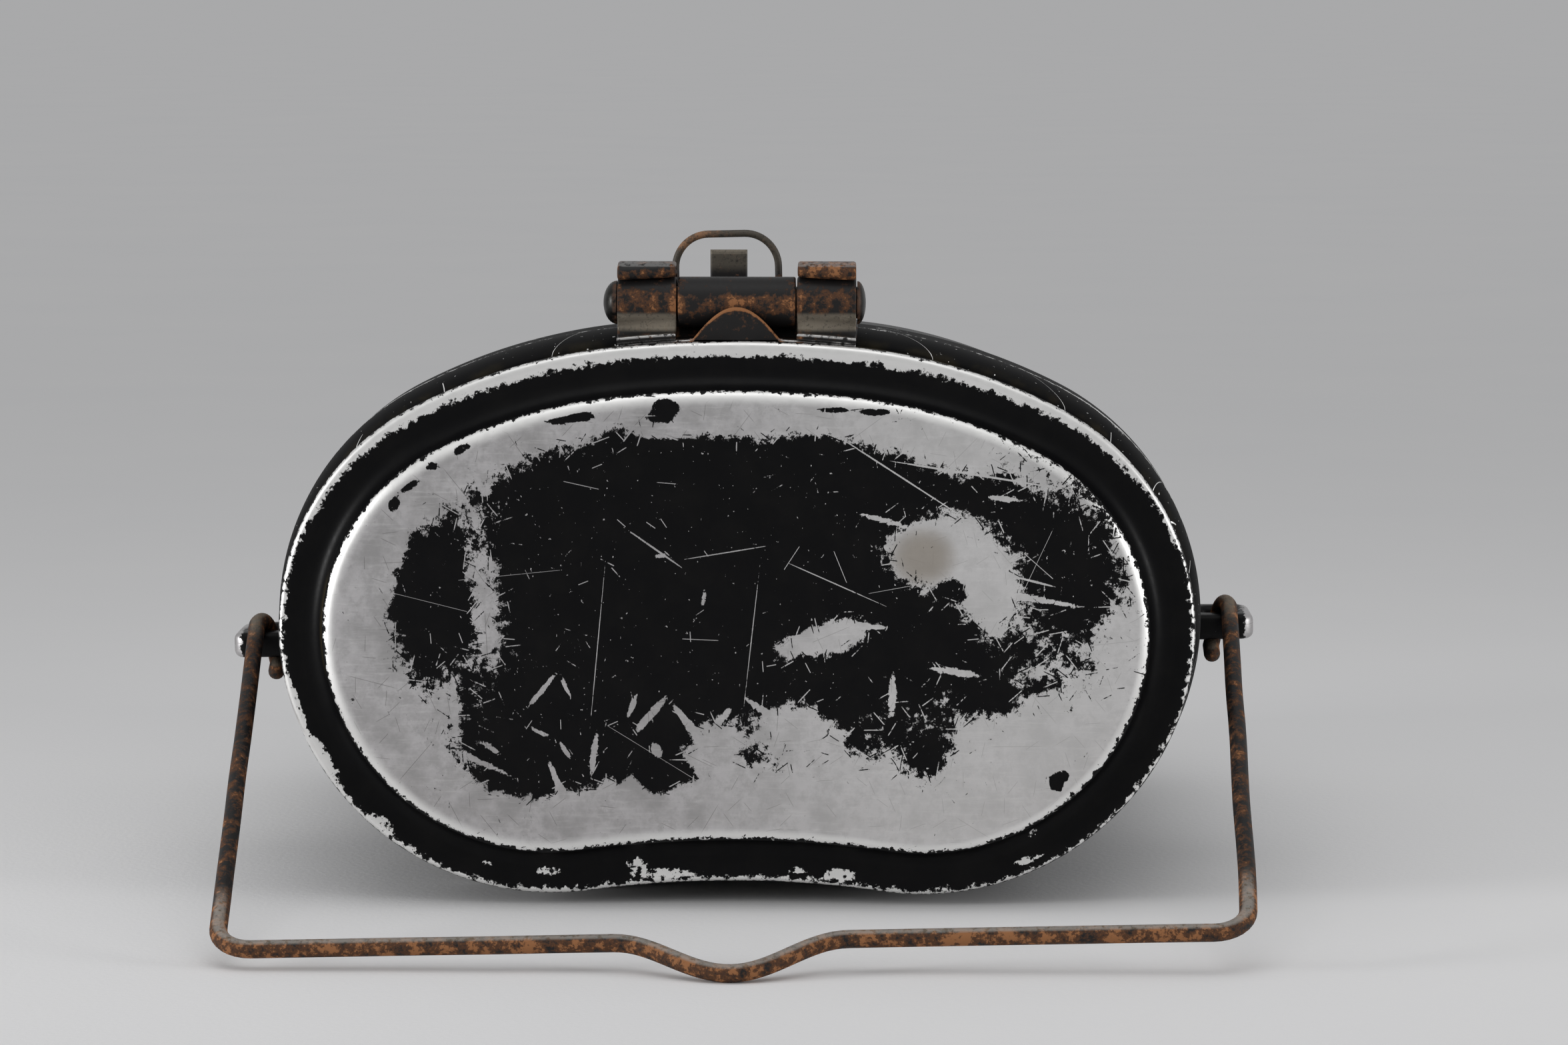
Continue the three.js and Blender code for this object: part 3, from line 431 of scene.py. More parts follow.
def wall_fields(rings):
    """Per point: length along the profile, and length round the outline."""
    middles = [ring[0] for ring in rings]
    steps = [np.linalg.norm(b - a) for a, b in zip(middles, middles[1:])]
    along = np.concatenate([[0.0], np.cumsum(steps)])
    count = len(rings[0])
    return np.repeat(along, count), np.concatenate([arc_lengths(ring) for ring in rings])


def filled(ring, spacing):
    """A fine net inside a closed ring in an XZ plane: its new points as (x, z), how far each is from
    the ring, and triangles over the ring's points followed by the new ones."""
    border = ring[:, [0, 2]]
    low, high = border.min(axis=0), border.max(axis=0)
    rows = np.arange(low[1], high[1], spacing * math.sqrt(0.75))
    columns = np.arange(low[0], high[0], spacing)
    grid = np.array([(x + spacing / 2 * (k % 2), z) for k, z in enumerate(rows) for x in columns])
    inside = np.zeros(len(grid), bool)
    away = np.full(len(grid), np.inf)
    for (x1, z1), (x2, z2) in zip(border, np.roll(border, -1, axis=0)):
        away = np.minimum(away, np.hypot(grid[:, 0] - x1, grid[:, 1] - z1))
        if z1 != z2:
            crossed = (z1 > grid[:, 1]) != (z2 > grid[:, 1])
            inside ^= crossed & (grid[:, 0] < x1 + (grid[:, 1] - z1) * (x2 - x1) / (z2 - z1))
    kept = inside & (away > spacing * 0.7)
    grid, away = grid[kept], away[kept]
    count = len(border)
    loop = [(i, (i + 1) % count) for i in range(count)]
    net = delaunay_2d_cdt([Vector(p) for p in np.vstack([border, grid])], loop, [], 1, 1e-6)
    source = [originals[0] for originals in net[3]]
    return grid, away, [tuple(source[i] for i in face) for face in net[2]]


def oval_field(points, ovals):
    """Sum of ovals in the XZ plane, each with its amount in its middle, fading out past its border."""
    total = np.zeros(len(points))
    for x, z, wide, high, turn, amount in ovals:
        cosine, sine = math.cos(math.radians(turn)), math.sin(math.radians(turn))
        along = (points[:, 0] - x) * cosine + (points[:, 2] - z) * sine
        across = (points[:, 2] - z) * cosine - (points[:, 0] - x) * sine
        inward = np.clip(1.0 - np.hypot(along / wide, across / high) / 1.7, 0.0, 1.0)
        total += amount * inward ** 2 * (3 - 2 * inward)
    return total


def stroke_ovals(lines, amount):
    """Listed scratches, each from one point to another with its own width, as thin ovals."""
    ovals = []
    for (x1, z1), (x2, z2), wide in lines:
        turn = math.degrees(math.atan2(z2 - z1, x2 - x1))
        reach = math.hypot(x2 - x1, z2 - z1) / 2
        ovals.append(((x1 + x2) / 2, (z1 + z2) / 2, reach, wide, turn, amount))
    return ovals


def pan_profile():
    """Outside and inside of the pan as (y, offset) points, and where its landmarks are."""
    front, inset = PANEL["front"], PANEL["inset"]
    rim = smooth_line([
        (front, -inset - 9), (front + 0.03, -inset - 6), (front + 0.13, -inset - 3),
        (front + 0.3, -inset - 1.1), (front + 0.5, -inset), (front + 1.05, -inset + 1.05),
        (front + 1.85, -inset + 1.55), (PANEL["wall_back"], -inset + PANEL["edge"])], 0.35)
    turns = np.radians(np.linspace(0, 90, 15))
    depth = LEDGE_Y - PANEL["wall_back"]
    start = -inset + PANEL["edge"]
    cove = [(PANEL["wall_back"] + depth * math.sin(t), start + PANEL["cove"] * (1 - math.cos(t)))
            for t in turns]
    bead = smooth_line([
        (0.1, -4.6), (-0.02, -3.4), (-0.34, -2.0), (-0.45, -1.15), (-0.28, -0.45),
        (0.3, -0.03), (1.0, 0.02), (1.8, -0.16), (2.7, -0.6)], 0.25)
    neck = [(y, NECK["offset"]) for y in np.linspace(NECK["start"], NECK["end"], 7)]
    roll_turns = np.radians(np.linspace(0, 90, 21))
    roll = [(ROLL["crest"] - (ROLL["crest"] - NECK["end"]) * math.cos(t),
             NECK["offset"] + (ROLL["offset"] - NECK["offset"]) * math.sin(t)) for t in roll_turns]
    half = SHEET / 2
    skirt = [(y, ROLL["offset"]) for y in np.linspace(ROLL["crest"], ROLL["rim"] - half, 7)]
    edge = [(ROLL["rim"] - half + half * math.sin(t), ROLL["offset"] - half + half * math.cos(t))
            for t in np.radians(np.linspace(0, 180, 9))]
    inside = smooth_line([
        (ROLL["rim"] - half, ROLL["offset"] - SHEET), (ROLL["crest"] + 4, ROLL["offset"] - SHEET),
        (ROLL["crest"] - 1, ROLL["offset"] - SHEET), (NECK["end"] + 2.6, -0.1),
        (NECK["end"] - 0.6, NECK["offset"] - SHEET), (NECK["end"] - 3, NECK["offset"] - SHEET),
        (NECK["start"] - 0.3, NECK["offset"] - SHEET), (1.4, -2.6), (1.3, -5.8),
        (0.2, -7.6), (-2.4, -9.2), (-3.4, -9.3), (-4.6, -10.1), (-4.95, -11.6),
        (-5.0, -14.0)], 1.2)
    floor = [(front + SHEET, -inset - d) for d in np.arange(6.0, 32.0, 4.0)]
    parts = [rim, cove[1:], bead[1:], neck[1:], roll[1:], skirt[1:], edge[1:], inside[1:], floor]
    names = ["rim", "cove", "bead", "neck", "roll", "skirt", "edge", "inside", "floor"]
    outline = [tuple(p) for part in parts for p in part]
    first = {name: sum(len(part) for part in parts[:k]) for k, name in enumerate(names)}
    return outline, first


# Where the lid's worn edges run: how many points after the start of a stretch of its profile.
LANDMARKS = {"panel": ("cove", -6), "bead": ("bead", 16), "crest": ("skirt", 0), "mouth": ("edge", 4)}


def pan_lid(material):
    outline, first = pan_profile()
    rings = [kidney(y, offset) for y, offset in outline]
    along, around = wall_fields(rings)
    count, total = len(rings[0]), len(along)
    marks = {name: along[(first[part] + after) * count] for name, (part, after) in LANDMARKS.items()}
    grid, away, net = filled(rings[0], PANEL_MESH)
    flat = np.column_stack([grid[:, 0], np.full(len(grid), PANEL["front"]), grid[:, 1]])
    faces = loft_faces(len(rings), count, ends=False)
    faces += [tuple(i if i < count else i - count + total for i in face) for face in net]
    faces.append(tuple(range(total - count, total)))
    points = np.vstack(rings + [flat])
    along = np.concatenate([along, -away])
    fields = {name: along - mark for name, mark in marks.items()}
    fields["panel"] = -fields["panel"]
    fields["around"] = np.concatenate([around, np.zeros(len(flat))])
    fields["wear"] = oval_field(points, PANEL_BARE + PANEL_PAINT + stroke_ovals(PANEL_STROKES, STROKE_AMOUNT))
    fields["chips"] = oval_field(points, EDGE_CHIPS)
    loose = np.where(fields["panel"] > 2.0, 1.0, 0.35)
    loose[fields["mouth"] > 0] = 0.3
    for wave in LID_RUMPLES:
        points = rumple(points, wave, loose)
    make_piece("worn_pan_lid", (points, faces), material, "lid", ["lid_pan"], fields=fields)


def pot(material):
    end_offset, end_drop = pot_wall(POT["base"])
    centre_offset = end_offset - POT["corner"]

    def corner(turn, radius, floor):
        t = math.radians(turn)
        return kidney(floor - radius * (1 - math.sin(t)), centre_offset + radius * math.cos(t), end_drop)

    def wall(y, inset):
        offset, drop = pot_wall(y)
        return kidney(y, offset - inset, drop)

    base, thick = POT["base"] - POT_BASE_SINK, POT["wall"]
    floor = [kidney(base, centre_offset - d, end_drop) for d in np.arange(30.0, 1.0, -4.0)]
    outer = [corner(turn, POT["corner"], base) for turn in np.linspace(90, 0, 11)]
    depths = np.linspace(POT_TAPER["end"], POT["mouth"] + 0.6, 16)
    sides = [wall(y, 0.0) for y in depths[1:]]
    half = thick / 2
    lip = [wall(POT["mouth"] + half - half * math.sin(t), half - half * math.cos(t))
           for t in np.radians(np.linspace(20, 160, 7))]
    inner_sides = [wall(y, thick) for y in depths[::-1][:-1]]
    inner = [corner(turn, POT["corner"] - thick, base - thick) for turn in np.linspace(0, 90, 8)]
    inner_floor = [kidney(base - thick, centre_offset - d, end_drop) for d in np.arange(4.0, 31.0, 6.0)]
    rings = floor + outer + sides + lip + inner_sides + inner + inner_floor
    along, around = wall_fields(rings)
    count = len(rings[0])
    base_edge = along[(len(floor) + 5) * count]
    mouth = along[(len(floor) + len(outer) + len(sides) + 3) * count]
    points = rumple(np.concatenate(rings), POT_RUMPLE, np.where(along > mouth, 0.25, 0.7))
    fields = {"base": along - base_edge, "mouth": along - mouth, "around": around}
    shape = points, loft_faces(len(rings), count)
    make_piece("worn_pot", shape, material, "pot", ["pot_body"], fields=fields)


# ---------------------------------------------------------------- rivets

def rivet(name, place, angle, body, material, node):
    """A domed rivet head that sits on its plate."""
    head, dome = RIVET["head"], RIVET["dome"]
    sink, edge = -0.6, 0.12
    turns = np.radians(np.linspace(0, 90, 8))[1:-1]
    profile = [(0.0, sink), (head * 0.8, sink), (head * 0.96, -0.1), (head, edge)]
    profile += [(head * math.cos(t), edge + (dome - edge) * math.sin(t)) for t in turns]
    points, faces = lathe(profile + [(0.0, dome)], 24)
    points = aimed(points, place, (math.sin(angle), 0.0, math.cos(angle)))
    make_piece(name, (points, faces), material, body, [node])


def bracket_rivets(material):
    for i, x in enumerate(BRACKET_RIVETS["x"], 1):
        place = on_pan(top_angle(x), BRACKET_RIVETS["y"], BRACKET["plate"])
        rivet(f"hinge_rivet_{i}", place, top_angle(x), "lid", material, f"bracket_rivet_{i}")


# ---------------------------------------------------------------- hinge

def at_pin(x, line):
    """(y, z) pairs round the pin's centre, at x."""
    return [(x, PIN["y"] + y, PIN["z"] + z) for y, z in line]


def plate_top(x):
    return on_pan(top_angle(x), NECK["start"], BRACKET["plate"])[2] - PIN["z"]


def knuckle_line(x):
    """Middle of a knuckle's sheet: a lip on the plate, a flare, then the curl round the pin."""
    half = FOLD_SHEET / 2
    lip = plate_top(x) + half
    curl = BRACKET["knuckle"] - half
    bend = BRACKET["flare"] + half
    reach = BRACKET["knuckle"] + BRACKET["flare"]
    flare_z = lip + bend
    flare_y = -math.sqrt(reach ** 2 - flare_z ** 2)
    touch = math.degrees(math.atan2(-flare_z, -flare_y))
    lead = [(-5.9, lip), (-5.6, lip)]
    flared = arc(bend, -90, touch, 5, (flare_y, flare_z))
    curled = arc(curl, 180 + touch, -80, 34)
    return np.vstack([lead, flared, curled[1:]])


def side_pair(line, inner, outer, sheet, edge):
    """Two sheets, one each side of the middle, that follow line(x) from inner to outer."""
    xs = np.linspace(inner, outer, 9)
    return [shell([at_pin(side * x, line(x)) for x in xs], sheet, edge) for side in (-1, 1)]


def outlined_plate(name, paths, half, edge):
    """(points, faces) of flat rounded outlines with holes, extruded along Z by half each way."""
    curve = bpy.data.curves.new(name, "CURVE")
    curve.dimensions = "2D"
    curve.fill_mode = "BOTH"
    curve.extrude = half - edge
    curve.bevel_depth = edge
    curve.offset = -edge
    curve.bevel_resolution = 3
    for path in paths:
        spline = curve.splines.new("POLY")
        spline.points.add(len(path) - 1)
        for point, (x, y) in zip(spline.points, path):
            point.co = (x, y, 0.0, 1.0)
        spline.use_cyclic_u = True
    maker = bpy.data.objects.new(name, curve)
    bpy.context.scene.collection.objects.link(maker)
    shape = maker.evaluated_get(bpy.context.evaluated_depsgraph_get())
    mesh = bpy.data.meshes.new_from_object(shape)
    bpy.data.objects.remove(maker)
    points = np.array([v.co for v in mesh.vertices])
    faces = [tuple(f.vertices) for f in mesh.polygons]
    return points, faces


def tongue():
    """The half-round tongue that stands up at the front of the bracket."""
    half, height = TONGUE["half"], TONGUE["height"]
    rim = [(u * half, TONGUE_BASE + max(height * (1 - u * u) ** 1.2, 0.5)) for u in np.linspace(-1, 1, 61)]
    outline = rim + [(half, TONGUE_BASE), (-half, TONGUE_BASE)]
    flat, faces = outlined_plate("tongue", [outline], TONGUE["thick"] / 2, 0.35)
    y = NECK["start"] + TONGUE["thick"] / 2
    return [(x, y - depth, z) for x, z, depth in flat], faces


def hinge_bracket(material):
    half, thick, inset = BRACKET["half"] - 0.4, BRACKET["plate"] + 0.1, 0.4
    depths = [np.linspace(NECK["start"] + inset, NECK["end"], 8)]
    depths.append(np.linspace(NECK["end"], ROLL["crest"], 12)[1:])
    depths.append(np.linspace(ROLL["crest"], BRACKET["back"] - inset, 6)[1:])
    plate = [[on_pan(top_angle(x), y, thick / 2 - 0.1) for x in np.linspace(-half, half, 25)]
             for y in np.concatenate(depths)]
    parts = side_pair(knuckle_line, BRACKET["inner"] + 0.3, half, FOLD_SHEET, 0.3)
    parts = [shell(plate, thick, 0.3), tongue(), *parts]
    make_piece("hinge_plate", merged(*parts), material, "lid", ["hinge_bracket"])


def hinge_pin(material):
    def dome(height, sign):
        turns = np.radians(np.linspace(0, 90, 10))
        return [(PIN["head"] * math.cos(t), sign * (PIN["half"] + height * math.sin(t))) for t in turns]

    shank = [(PIN["shank"], -PIN["half"]), (PIN["shank"], PIN["half"])]
    points, faces = lathe(dome(PIN["left_dome"], -1)[::-1] + shank + dome(PIN["right_dome"], 1), 40)
    points = aimed(points, (0.0, PIN["y"], PIN["z"]), (1, 0, 0))
    make_piece("hinge_pin_rod", (points, faces), material, "lid", ["hinge_pin"])


# ---------------------------------------------------------------- folding handle

BLADE_BEAD = {"from_edge": 1.5, "wide": 0.75, "high": 0.55}
BLADE_RIB = 0.5
# Depth and half-width of the blade, from its root to its tail.
BLADE_WIDTHS = [(14.6, 20.6), (20, 20), (28, 15), (38, 11.5), (60, 9.5), (76, 8.2), (85, 5.4), (90, 3.6)]


def leaving(radius, degrees, runs):
    """Points of a sheet that leaves an arc round the pin straight on, by their runs from the arc."""
    cosine, sine = math.cos(math.radians(degrees)), math.sin(math.radians(degrees))
    return [(radius * cosine + run * sine, radius * sine - run * cosine) for run in runs]


def barrel_line():
    """Middle of the sheet that curls round the pin between the knuckles, from the blade's root."""
    radius, start = BARREL["radius"], BARREL["start"]
    return np.vstack([leaving(radius, start, BARREL["root"]), arc(radius, start, BARREL["end"], 44)])


def tab_line(along):
    """Middle of a side tab's sheet: over the knuckle, then hemmed back under its slanted front."""
    over, under, back = TAB["over"], TAB["under"], TAB["back"]
    front = TAB["front"] + TAB["slant"] * along ** 0.7
    t = math.radians(front)
    middle = ((over + under) / 2 * math.cos(t), (over + under) / 2 * math.sin(t))
    top = arc(over, back, front, 20)
    hem = arc((over - under) / 2, front, front + 180, 8, middle)[1:]
    return np.vstack([leaving(over, back, TAB["root"]), top, hem, arc(under, front, 80, 6)[1:]])


def blade_skew(y):
    """How far the blade's middle has moved sideways at depth y."""
    return SKEW["x"] * max(0.0, (y - SKEW["start"]) / (THUMB["y"] - SKEW["start"]))


def blade():
    """The flat blade, with a bead along each edge."""
    widths = smooth_line(BLADE_WIDTHS, 1.0)
    grid = []
    for y, half in widths:
        part = (y - PIN["y"]) / (HANDLE["tail_y"] - PIN["y"])
        middle = HANDLE["top"] + (HANDLE["tail_top"] - HANDLE["top"]) * part - HANDLE["sheet"] / 2
        row = []
        for u in np.linspace(-1, 1, 41):
            x = u * (half - 0.4)
            away = (half - abs(x) - BLADE_BEAD["from_edge"]) / BLADE_BEAD["wide"]
            bead = BLADE_BEAD["high"] * math.exp(-away ** 2) * ease(y, 18, 26)
            rib = BLADE_RIB * ease(abs(x), half * 0.55, half * 0.3) * ease(y, 34, 44) * ease(-y, -80, -70)
            row.append((x + blade_skew(y), y, middle + bead - rib))
        grid.append(row)
    return shell(grid, HANDLE["sheet"], 0.4)


def thumb_tab():
    half = HANDLE["sheet"] / 2
    low = HANDLE["tail_top"] - half
    radius = THUMB["bend"] - half
    centre = (THUMB["y"] - THUMB["bend"], low + radius)
    line = [(87.0, low + 0.05), (89.0, low)] + list(arc(radius, -90, 0, 8, centre))
    top = THUMB["top"] - 0.45
    line += [(THUMB["y"] - half, z) for z in np.linspace(centre[1] + 0.6, top, 6)]
    across = np.linspace(-THUMB["half"] + 0.5, THUMB["half"] - 0.5, 9)
    grid = [[(x + blade_skew(y), y, z) for y, z in line] for x in across]
    return shell(grid, HANDLE["sheet"], 0.45)


def pan_handle(material):
    sheet, half = HANDLE["sheet"], HANDLE["barrel_half"] - 0.35
    inner, outer = BRACKET["inner"] + 0.55, BRACKET["half"] - 0.55
    barrel = [at_pin(x, barrel_line()) for x in np.linspace(-half, half, 9)]
    tabs = side_pair(lambda x: tab_line((x - inner) / (outer - inner)), inner, outer, sheet, 0.45)
    parts = [blade(), thumb_tab(), shell(barrel, sheet, 0.3), *tabs]
    make_piece("folding_handle", merged(*parts), material, "handle", ["pan_handle"])


# ---------------------------------------------------------------- bail and ears

SWING = next(joint for joint in frame["joints"] if joint["name"] == "bail_swing")
TILT = math.atan2(SWING["axis"][2], SWING["axis"][0])
PIVOT = np.array(SWING["pos_m"]) / MM - (0.0, SHOULDER_Y, 0.0)


def about_pivot(points):
    """Points modelled with the pivot's middle at the origin, put in place with the pivot's tilt."""
    turn = np.array(Matrix.Rotation(-TILT, 3, "Y"))
    return np.asarray(points, float) @ turn.T + PIVOT


BAIL_REACH = BAIL["reach"] + BAIL_BEND["dip"]
# How far the bail's arms slope down to the floor.
BAIL_SLOPE = math.asin((PIVOT[2] - BAIL["wire"]) / math.hypot(BAIL_REACH, BAIL["hook"]))
BAIL_SLOPE += math.atan2(BAIL["hook"], BAIL_REACH)


def on_bail(x, along, above):
    """A point of the bail by its distance along the arms and its height over the pivot's axis."""
    cosine, sine = math.cos(BAIL_SLOPE), math.sin(BAIL_SLOPE)
    return (x, -along * cosine - above * sine, above * cosine - along * sine)


def bail_half():
    """The right half of the bail's line, from its short leg to the middle of its dip."""
    hook, arm, leg = BAIL["hook"], BAIL["arm_x"], BAIL["leg_x"]
    reach, bar = BAIL["reach"], BAIL["bar_x"]
    line = [on_bail(leg, a, -hook) for a in np.linspace(BAIL["leg"] - 1.2, 0.8, 4)]
    for turn in np.linspace(270, 90, 22):
        t = math.radians(turn)
        x = leg + (arm - leg) * (270 - turn) / 180
        line.append(on_bail(x, hook * math.cos(t), hook * math.sin(t)))
    lean = math.atan2(arm - bar, reach)
    corner = BAIL_BEND["corner"]
    trim = corner * math.tan((math.pi / 2 - lean) / 2)
    for s in np.linspace(0.03, 1, 24):
        x = arm + (bar + trim * math.sin(lean) - arm) * s
        line.append(on_bail(x, s * (reach - trim * math.cos(lean)), hook))
    for t in np.linspace(lean, math.pi / 2, 9)[1:]:
        line.append(on_bail(bar - trim + corner * math.cos(t), reach - corner + corner * math.sin(t), hook))
    dip_half = BAIL_BEND["dip_half"]
    line += [on_bail(x, reach, hook) for x in np.linspace(bar - trim, dip_half, 18)[1:-1]]
    for x in np.linspace(dip_half, 0, 17):
        line.append(on_bail(x, reach + BAIL_BEND["dip"] / 2 * (1 + math.cos(math.pi * x / dip_half)), hook))
    return np.array(line)


def bail(material):
    right = bail_half()
    left = right[-2::-1] * (-1, 1, 1)
    line = np.vstack([right, left])
    free = np.clip((np.linalg.norm(line[:, 1:], axis=1) - 12) / 20, 0, 1)
    line += (rumple(line, WIRE_RUMPLE, free) - line) * (1, 1, 0.1)
    points, faces = sweep(line, BAIL["wire"], 24)
    shape = about_pivot(points), faces
    make_piece("wire_bail", shape, material, "bail", ["bail"], 60)


def ear_ring():
    """The cast ring from above, with its bar in front and its eye behind, round the pivot."""
    tip, bar, root = EAR["tip"], EAR["bar"], EAR["root"]
    back = EAR_HOLE["back"]
    front_r, back_r = EAR["front_corner"], EAR["back_corner"]
    outer = [(root, -bar), *arc(front_r, -90, 0, 8, (tip - front_r, front_r - bar))]
    outer += [*arc(back_r, 0, 90, 8, (tip - back_r, back)), (root, back + EAR["back_bar"])]
    inner, far, r = EAR_HOLE["inner"], EAR_HOLE["outer"], EAR_HOLE["corner"]
    middles = [(far - r, bar + r), (far - r, back - r), (inner + r, back - r), (inner + r, bar + r)]
    eye = np.vstack([arc(r, 90 * k - 90, 90 * k, 8, middle) for k, middle in enumerate(middles)])
    return outlined_plate("ear", [outer, eye[::-1]], bar, 1.25)


def ear_foot(rise):
    """The ear's foot: a rounded plate that follows the pot's side."""
    grid = []
    for u in np.linspace(-1, 1, 19):
        row = []
        for v in np.linspace(-1, 1, 19):
            a = u * math.sqrt(1 - EAR_FOOT["square"] * v * v)
            b = v * math.sqrt(1 - EAR_FOOT["square"] * u * u)
            y = EAR_FOOT["y"] + EAR_FOOT["half_y"] * a
            z = EAR_FOOT["z"] + rise + EAR_FOOT["half_z"] * b + EAR_FOOT["lean"] * a
            row.append(on_pot(side_angle(y, z), y, 0.75))
        grid.append(row)
    return shell(grid, 1.6, 0.5)


def side_angle(y, z):
    """Direction that the pot's right side faces at a height."""
    low, high = math.radians(40), math.radians(150)
    for _ in range(30):
        middle = (low + high) / 2
        if on_pot(middle, y, 0.0)[2] > z:
            low = middle
        else:
            high = middle
    return (low + high) / 2


def ears(material, rivet_material):
    for name, side in (("right", 1), ("left", -1)):
        mirror = (side, 1, 1)
        ring, ring_faces = ear_ring()
        foot, foot_faces = ear_foot(side * EAR["root"] * math.tan(TILT))
        shape = merged((about_pivot(ring * mirror), ring_faces), (foot * mirror, foot_faces))
        make_piece(f"cast_ear_{name}", shape, material, "pot", [f"ear_{name}"])
        for i in (1, 2, 3):
            node = f"ear_{name}_rivet_{i}"
            low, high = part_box(node)
            middle = (low + high) / 2 / MM
            y = middle.y - SHOULDER_Y
            angle = side_angle(y, middle.z)
            place = on_pot(angle, y, 1.55) * mirror
            rivet(f"{name}_ear_rivet_{i}", place, side * angle, "pot", rivet_material, node)


# ---------------------------------------------------------------- strap staple

def leaned(points):
    """Points modelled upright at the middle, moved round the arched wall to the staple's place."""
    centre = (0.0, 0.0, ARCS[0][1] + pot_wall(STAPLE["y"])[1])
    turn = np.array(Matrix.Rotation(top_angle(STAPLE["x"]), 3, "Y"))
    return (np.asarray(points, float) - centre) @ turn.T + centre


def strap_staple(steel, wire_material, rivet_material):
    y, half, top, bend = STAPLE["y"], STAPLE["half"], STAPLE["top"], STAPLE["bend"]
    wide, deep, sheet = STAPLE_PLATE["half"], STAPLE_PLATE["deep"], STAPLE_PLATE["sheet"]
    angles = [top_angle(x) for x in np.linspace(-wide, wide, 17)]
    depths = np.linspace(y - deep, y + deep, 9)
    grid = [[on_pot(angle, depth, sheet / 2) for angle in angles] for depth in depths]
    parts = [shell(grid, sheet, 0.4)]
    foot = on_pot(0.0, y, 0.0)[2]
    turned = [(0.0, 0.6), (2.5, 0.6), (2.45, 1.4), (2.15, 2.2), (1.75, 2.75), (1.2, 2.95), (0.0, 3.0)]
    for side in (-1, 1):
        boss, faces = lathe(turned, 24)
        parts.append((boss + (side * half, y, foot), faces))
    points, faces = merged(*parts)
    make_piece("staple_base", (leaned(points), faces), steel, "pot", ["staple_plate"])
    right = [(half, y, z) for z in np.linspace(foot + 2.0, top - bend, 8)]
    right += [(x, y, z) for x, z in arc(bend, 0, 90, 14, (half - bend, top - bend))[1:]]
    left = [(-x, y, z) for x, _, z in right[::-1]]
    points, faces = sweep(right + [(0.0, y, top)] + left, STAPLE["wire"], 16)
    shape = leaned(points), faces
    make_piece("wire_staple", shape, wire_material, "pot", ["strap_staple"], 60)
    for i, side in enumerate((-1, 1), 1):
        angle = top_angle(side * STAPLE["rivet_x"]) + top_angle(STAPLE["x"])
        place = on_pot(angle, y, sheet)
        rivet(f"staple_rivet_head_{i}", place, angle, "pot", rivet_material, f"staple_rivet_{i}")


# ---------------------------------------------------------------- materials

class Value:
    """A node's output in a graph. Arithmetic on it adds math nodes."""

    def __init__(self, graph, socket):
        self.graph = graph
        self.socket = socket

    def __add__(self, other):
        return self.graph.math("ADD", self, other)

    def __sub__(self, other):
        return self.graph.math("SUBTRACT", self, other)

    def __rsub__(self, other):
        return self.graph.math("SUBTRACT", other, self)

    def __mul__(self, other):
        return self.graph.math("MULTIPLY", self, other)

    def __abs__(self):
        return self.graph.math("ABSOLUTE", self)

    __radd__ = __add__
    __rmul__ = __mul__

    def step(self, low, high, start=0.0, end=1.0):
        """Start below low, end above high, smooth between."""
        inputs = {"Value": self, "From Min": low, "From Max": high, "To Min": start, "To Max": end}
        return self.graph.make("ShaderNodeMapRange", "Result", inputs, interpolation_type="SMOOTHSTEP")

    def band(self, middle, half, fade):
        """1 within half of a middle, fading to 0 beyond."""
        return abs(self - middle).step(half, half + fade, 1.0, 0.0)

    def scaled(self, factors):
        """A place, stretched along each axis."""
        return self.graph.vector("MULTIPLY", self, factors)


def largest(first, *others):
    for other in others:
        first = first.graph.math("MAXIMUM", first, other)
    return first


def smallest(first, *others):
    for other in others:
        first = first.graph.math("MINIMUM", first, other)
    return first


